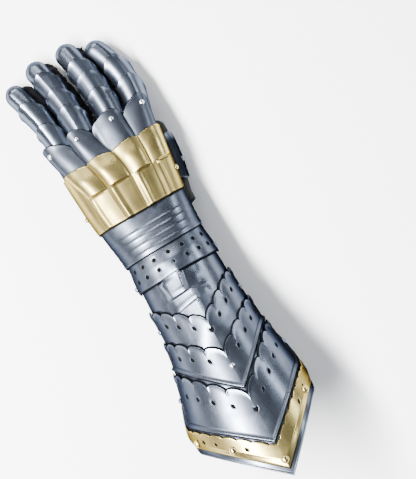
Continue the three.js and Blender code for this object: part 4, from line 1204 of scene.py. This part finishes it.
def finger_lame(name, digit_name, end, rear_end, first, cap):
    rise = 0 if cap else STEP * (end - rear_end) / (end - rear_end - FINGER_OVERLAP) + SLACK

    def front(u):
        return end - (0 if cap else 1) * fall_back(u)

    def rear(u):
        return rear_end - (0 if first else REAR_SWEEP) * fall_back(u)

    def level(u, v, y):
        flare = 0 if cap else 0.5 * np.maximum(0, 1 - v / 0.2) ** 2
        return GAP + SLACK + rise * (1 - v) + flare

    # painted shade down each lame's sides, stronger on the thumb's side
    sheet = Sheet(name, digit_surface(digit_name, LAME_KEEL), even((FINGER_REACH, FINGER_REACH)),
                  straight(front, rear), level, [-1, -0.02, 0, 0.02, 1], [0, 1], step=1.0,
                  side_shade=lambda u, v: 0.7 * smooth(0.62, 0.9, u) + 0.3 * smooth(0.7, 0.95, -u),
                  lips=(0 if cap else 0.7, 0))
    sheet.show(steel)
    return sheet


for digit_name, digit in DIGITS.items():
    ends = [LOBES_FRONT + share * (digit.tip - LOBES_FRONT) for share in digit.fronts]
    rears = [LOBES_FRONT - LOBE_NOTCH + 6, *(y - FINGER_OVERLAP for y in ends)]
    if ends:
        ends.append(digit.tip - 0.1 * DOME)
    for i, (end, rear_end) in enumerate(zip(ends, rears)):
        cap = i == len(ends) - 1
        name = digit_name + ("_tip_cap" if cap else f"_lame_{i + 1}")
        finger_lame(name, digit_name, end, rear_end, i == 0, cap)

# %% [markdown]
# ### The thumb's plate
# The thumb hides under the hand, and only its one plate catches some light; painted shade darkens the plate,
# least at its front. It is the same kind of sheet as a finger's lame, but covers less of the way round and
# runs further along.

# %% The thumb's plate
THUMB_FRONT = DIGITS["thumb"].tip - 18
THUMB_LENGTH = 46


def thumb_along(u, v):
    front = THUMB_FRONT - 0.6 * fall_back(u)
    rear = THUMB_FRONT - THUMB_LENGTH + 4 * u * u
    return front + (rear - front) * v


# painted shade over the plate, least at its front
thumb_plate = Sheet("thumb_plate", digit_surface("thumb", LAME_KEEL), even((60, 60)), thumb_along,
                    lambda u, v, y: GAP + SLACK + 0 * u, [-1, 0, 1], [0, 1], step=1.1,
                    side_shade=lambda u, v: 0.3 + 0.7 * smooth(0.05, 0.2, v))
thumb_plate.show(steel)

# %% [markdown]
# ## The glove
# The leather glove holds everything together. Hand, fingers and thumb are drawn as closed tubes, joined by a
# voxel remesh, which rounds the crotches between the fingers as sewn leather does, then opened at the wrist.
# A boolean union would leave a sharp crease there, which no glove has.

# %% Glove body
LEATHER_OFF = -0.7
FINGER_OFF = -0.3
DOME_ROWS = (0.2, 0.4, 0.6, 0.75, 0.88, 0.96)
HAND_SIDES, DIGIT_SIDES, TUBE_ROWS = 96, 48, 40


def between_rings(low, high, sides):
    """The faces between two rings of points, from each ring's first number."""
    return [[low + k, low + n, high + n, high + k] for k, n in neighbours(sides)]


def tube(surface, ys, sides):
    """A closed tube through rings of a surface, as points and faces."""
    phi = np.linspace(0, 2 * math.pi, sides, endpoint=False)
    phi = np.where(phi > math.pi, phi - 2 * math.pi, phi)
    grid = np.array([surface(phi, np.full(sides, float(y))) for y in ys])
    last = (len(ys) - 1) * sides
    points = [*grid.reshape(-1, 3), grid[0].mean(0), grid[-1].mean(0)]
    faces = []
    for low in range(0, last, sides):
        faces += between_rings(low, low + sides, sides)
    faces += [[n, k, last + sides] for k, n in neighbours(sides)]
    faces += [[last + k, last + n, last + sides + 1] for k, n in neighbours(sides)]
    return points, faces


def joined(bodies):
    points, faces = [], []
    for body_points, body_faces in bodies:
        start = len(points)
        points += body_points
        faces += [[start + i for i in face] for face in body_faces]
    return points, faces


SPREAD = {"little": 12, "ring": 12, "middle": 12, "index": 7, "thumb": 0}


def leather_digit(name):
    """A digit's leather surface, with its lower quarter spread towards the thumb under the lames."""
    surface = digit_surface(name)
    root, tip = DIGITS[name].root, DIGITS[name].tip

    def spread_surface(phi, y):
        points = surface(phi, y, FINGER_OFF)
        turn = np.degrees(np.where(phi < 0, phi + 2 * math.pi, phi))
        along = smooth(0, 0.35, (y - root) / (tip - root))
        dome = np.maximum(0, (y - tip + DOME) / DOME)
        lower = smooth(98, 140, turn) * (1 - smooth(142, 200, turn))
        points[..., 0] += SPREAD[name] * along * lower * np.cos(dome * math.pi / 2)
        return points

    return spread_surface


bodies = [tube(lambda phi, y: bare_limb(phi, y, LEATHER_OFF),
               np.linspace(RIDGED_REAR - 3, HAND_FRONT, TUBE_ROWS), HAND_SIDES)]
for digit_name, digit in DIGITS.items():
    dome = digit.tip - DOME
    ys = [*np.linspace(digit.root - 10, dome, TUBE_ROWS), *(dome + DOME * share for share in DOME_ROWS)]
    bodies.append(tube(leather_digit(digit_name), ys, DIGIT_SIDES))
glove_points, glove_faces = joined(bodies)
glove = place("glove", glove_points, glove_faces, glove_leather, {})
remesh = glove.modifiers.new("remesh", "REMESH")
remesh.mode = "VOXEL"
remesh.voxel_size = 0.0014
smoothing = glove.modifiers.new("smooth", "SMOOTH")
smoothing.factor = 0.5
smoothing.iterations = 4
solid = bpy.data.meshes.new_from_object(glove.evaluated_get(bpy.context.evaluated_depsgraph_get()))
glove.modifiers.clear()
glove.data = solid
print("glove", len(solid.vertices), "points")

# %% [markdown]
# ### Creases and the wrist's opening
# Worn leather creases across the palm and over the finger joints. A displacement texture would crease it
# everywhere alike. Waves that depend on the place give folds only where a hand bends, by moving the points
# along their normals. The faces behind the wrist are then left out, and a Solidify gives the leather a wall.

# %% Wrinkles and the wrist opening
def wrinkles(points):
    """Small moves for creases: waves across the palm and folds over the finger joints."""
    x, y, z = points.T * 1000 - CAD_ORIGIN[:, None]
    palm = (1 - smooth(8, 24, z)) * smooth(RIDGED_REAR, RIDGED_REAR + 20, y)
    waves = np.sin(0.19 * y + 0.05 * x + 1.3 * np.sin(0.045 * x)) * np.sin(0.07 * x + 0.4)
    folds = np.sin(0.55 * y + 0.9 * np.sin(0.21 * x)) * smooth(HAND_FRONT, HAND_FRONT + 10, y)
    lowered = 1 - smooth(2, 8, z)
    return -0.5 * palm * (1 + waves) * 0.6 * (1 - lowered) - 0.28 * (1 + folds) * (y > HAND_FRONT)


def point_values(mesh, key):
    """One vector for each of a mesh's points."""
    values = np.empty(len(mesh.vertices) * 3, np.float32)
    mesh.vertices.foreach_get(key, values)
    return values.reshape(-1, 3).astype(float)


points = point_values(solid, "co")
points += point_values(solid, "normal") * (wrinkles(points) * SCALE)[:, None]
opening = (RIDGED_REAR + CAD_ORIGIN[1]) * SCALE - 0.001
keep = [p.vertices[:] for p in solid.polygons if min(points[i, 1] for i in p.vertices) > opening]
used = sorted({i for face in keep for i in face})
number = {old: new for new, old in enumerate(used)}
shell = bpy.data.meshes.new("glove")
shell.from_pydata(points[used].tolist(), [], [[number[i] for i in face] for face in keep])
shell.shade_smooth()
shell.materials.append(glove_leather)
glove.data = shell
wall = glove.modifiers.new("wall", "SOLIDIFY")
wall.thickness = 0.0014
wall.offset = -1
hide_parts("glove_hand", "glove_little", "glove_ring", "glove_middle", "glove_index", "glove_thumb")
print("glove shell", len(shell.polygons), "faces")

# %% [markdown]
# ### The sleeve
# A wide leather sleeve lines the cuff and closes it below, with its hem a little inside the cuff's edge.
# Cloth simulation could fold it, but would differ from run to run. So it is one more sheet that goes all the
# way round, with slow waves on its underside, a rounded hem, and a stitched line as a groove.

# %% The sleeve
SLEEVE_WALL = 2
SLEEVE_INSET = 14  # the hem lies this far ahead of the cuff's rear edge


def sleeve_rear(u):
    return base_rear(np.minimum(1, np.abs(u) * 1.8)) + SLEEVE_INSET


def sleeve_level(u, v, y):
    ahead = y - sleeve_rear(u)
    under = smooth(0.58, 0.7, np.abs(u))
    hem = 0.35 * bump(ahead - 3.5, 4.5) * under
    folds = under * (0.5 + 0.5 * np.sin(0.11 * y + 7 * u + 1.2 * np.sin(0.05 * y)))
    sole = 1 - smooth(0.93, 1, np.abs(u)) * 0.6
    return LEATHER_OFF - SLEEVE_WALL + hem - 0.7 * folds * smooth(0, 14, ahead) * sole


def sleeve_groove(u, v, y):
    return bump(y - sleeve_rear(u) - 8.5, 0.7)


sleeve = Sheet("leather_sleeve", bare_limb, even((180, 180)),
               straight(lambda u: RIDGED_REAR - GAP / 2 + 0 * u, sleeve_rear), sleeve_level,
               [-1, 0, 1], [0, 0.9, 0.93, 0.95, 1],
               thick=SLEEVE_WALL, around=True, groove=sleeve_groove, step=2.0)
sleeve.show(sleeve_leather)

# %% [markdown]
# ## Rivets
# A rivet's head is a low dome with a flat skirt. A sphere cut in half would meet the plate too steeply, so
# each head is turned from a profile, and sits square on its plate at a given u and v. Its foot is darkened
# with painted shade, and the whole head has a faint painted highlight.

# %% Rivets
# the profile, from the foot to the crown: shares of the radius and of the rise
RIVET_PROFILE = [(1.0, 0.0), (1.0, 0.12), (0.96, 0.24), (0.88, 0.42), (0.76, 0.62), (0.6, 0.8), (0.4, 0.93),
                 (0.2, 0.985)]
RIVET_SIDES = 28
RIVET_RISE = 0.36


def rivet(name, sheet, u, v, diameter, material, in_cad=True):
    u, v = np.array([float(u)]), np.array([float(v)])
    middle = sheet.at(u, v, sheet.thick)[0]
    across = sheet.at(u + 0.01, v, sheet.thick)[0] - sheet.at(u - 0.01, v, sheet.thick)[0]
    along = sheet.at(u, v - 0.01, sheet.thick)[0] - sheet.at(u, v + 0.01, sheet.thick)[0]
    normal = unit(np.cross(across, along))
    side = unit(across)
    other = np.cross(normal, side)
    radius, rise = diameter / 2, RIVET_RISE * diameter
    points, foot_shade = [middle], [0.0]
    for row, (out, lift) in enumerate(RIVET_PROFILE):
        for k in range(RIVET_SIDES):
            angle = 2 * math.pi * k / RIVET_SIDES
            spoke = side * math.cos(angle) + other * math.sin(angle)
            points.append(middle + spoke * radius * out + normal * (rise * lift + (GAP if lift else 0)))
            foot_shade.append(max(0.0, 0.5 - row * 0.25))
    points.append(middle + normal * (rise + GAP))
    foot_shade.append(0.0)
    faces = [[0, 1 + n, 1 + k] for k, n in neighbours(RIVET_SIDES)]
    last = 1 + (len(RIVET_PROFILE) - 1) * RIVET_SIDES
    for low in range(1, last, RIVET_SIDES):
        faces += between_rings(low, low + RIVET_SIDES, RIVET_SIDES)
    faces += [[last + k, last + n, len(points) - 1] for k, n in neighbours(RIVET_SIDES)]
    # a faint painted highlight over the head, and painted shade at its foot
    attributes = {"edge": [0.3] * len(points), "groove": foot_shade}
    piece = place(name + "_fine", points, faces, material, attributes)
    if in_cad:
        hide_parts(name)


for i, (low, high) in enumerate(zip(GROOVE_PLACES, GROOVE_PLACES[1:])):
    rivet(f"lobe_rivet_{i + 1}", lobes, (low + high) / 2, 0.2, 5, highlit_steel)
for i, u in enumerate((-0.62, -0.3, 0, 0.5)):
    rivet(f"border_rivet_{i + 1}", border, u, 0.6, 7, highlit_brass)
rivet("lame_2_rivet", lame_2, 0, 0.2, 5, highlit_steel)
rivet("thumb_rivet", thumb_plate, 0.2, 0.6, 5, steel)
for side, end in (("little", -1), ("thumb", 1)):
    rivet("lame_1_rivet_" + side, lame_1, 0.75 * end, 0.35, 5, steel)
    rivet("lame_3_rivet_" + side, lame_3, 0.82 * end, 0.3, 5, steel)
    rivet("band_rivet_" + side, band, 0.78 * end, 0.86, 5, steel)
    rivet("brass_rivet_" + side, brass_plate, 0.88 * end, 0.7, 5, brass)
rivet("boss_rivet", brass_plate, 0.43, 0.5, 3.6, highlit_brass, in_cad=False)
print("rivets done, pieces", len(made))

# %% [markdown]
# ### Painted shade behind the holes
# Through a hole in the real plate one sees black. The plates here lie a little apart, so light would shine in
# from the sides. A thin matt black disc in each hole, just above the plate's inner face, closes it as painted
# shade.

# %% The painted shade in the holes
DISC_SIDES = 20


def hole_shade_discs(sheets):
    """A thin black leather disc of painted shade in every hole of the sheets, joined into one piece."""
    points, faces = [], []
    for sheet in sheets:
        for u, v, diameter in sheet.holes:
            across, along = sheet.millimetres(u, v, 0)
            radius = diameter / 2 - 0.05
            angles = np.linspace(0, 2 * math.pi, DISC_SIDES, endpoint=False)
            top = len(points)
            low = top + DISC_SIDES
            for out in (0.6, 0.3):
                points += list(sheet.at(u + radius * np.cos(angles) / across,
                                        v + radius * np.sin(angles) / along, out))
            faces += [list(range(top, low)), list(reversed(range(low, low + DISC_SIDES)))]
            faces += [[top + k, low + k, low + n, top + n] for k, n in neighbours(DISC_SIDES)]
    return points, faces


points, faces = hole_shade_discs([lame_1, lame_2, lame_3, border, band])
count = len(points)
discs = place("hole_shade_disc", points, faces, hole_shade_leather, {"edge": [0] * count, "groove": [1] * count})
print("hole lining", count, "points")

# %% [markdown]
# ## Floor and lights
# Polished metal is mostly a picture of what surrounds it. Large soft strips give long bright streaks along
# the plates, and the darker room between them gives the blue-grey body; the crisp dark lines are painted shade.
# The key comes from the little finger's side, so the thumb's side falls into shade, which painted shade
# deepens. The floor is a sheet of pale paper.

# %% Floor
size = 3.0
corners = [(-size, -size, 0), (size, -size, 0), (size, size, 0), (-size, size, 0)]
floor_mesh = bpy.data.meshes.new("floor")
floor_mesh.from_pydata(corners, [], [(0, 1, 2, 3)])
floor = bpy.data.objects.new("floor", floor_mesh)
bpy.context.collection.objects.link(floor)
paper = Graph("pale_paper")
paper.surface(base_color=(0.93, 0.93, 0.93), roughness=0.9, specular_ior_level=0.1)
floor_mesh.materials.append(paper.material)
print("floor", size)

# %% Lights
def strip(name, where, aim, width, height, watts, color=(1, 1, 1)):
    """A rectangular light that faces its aim, with its height as near to the arm's direction as it goes."""
    data = bpy.data.lights.new(name, "AREA")
    data.shape = "RECTANGLE"
    data.size, data.size_y = width, height
    data.energy = watts
    data.color = color
    light = bpy.data.objects.new(name, data)
    bpy.context.collection.objects.link(light)
    back = (Vector(where) - Vector(aim)).normalized()
    side = Vector((0, 1, 0)).cross(back).normalized()
    turn = Matrix((side, back.cross(side), back)).transposed()
    light.matrix_world = Matrix.Translation(where) @ turn.to_4x4()


strip("key", (-0.8, 0.0, 1.3), (0, 0, 0.05), 0.26, 1.8, 240)
strip("fill", (1.2, 0.1, 0.8), (0, 0, 0.05), 0.22, 1.4, 14, (0.9, 0.95, 1))
strip("front", (0.1, 1.5, 0.9), (0, 0.1, 0.05), 1.0, 0.25, 16)
world = bpy.data.worlds.new("room")
world.use_nodes = True
world.node_tree.nodes["Background"].inputs["Color"].default_value = (0.6, 0.68, 0.82, 1)
world.node_tree.nodes["Background"].inputs["Strength"].default_value = 0.25
bpy.context.scene.world = world
print("lights ready")
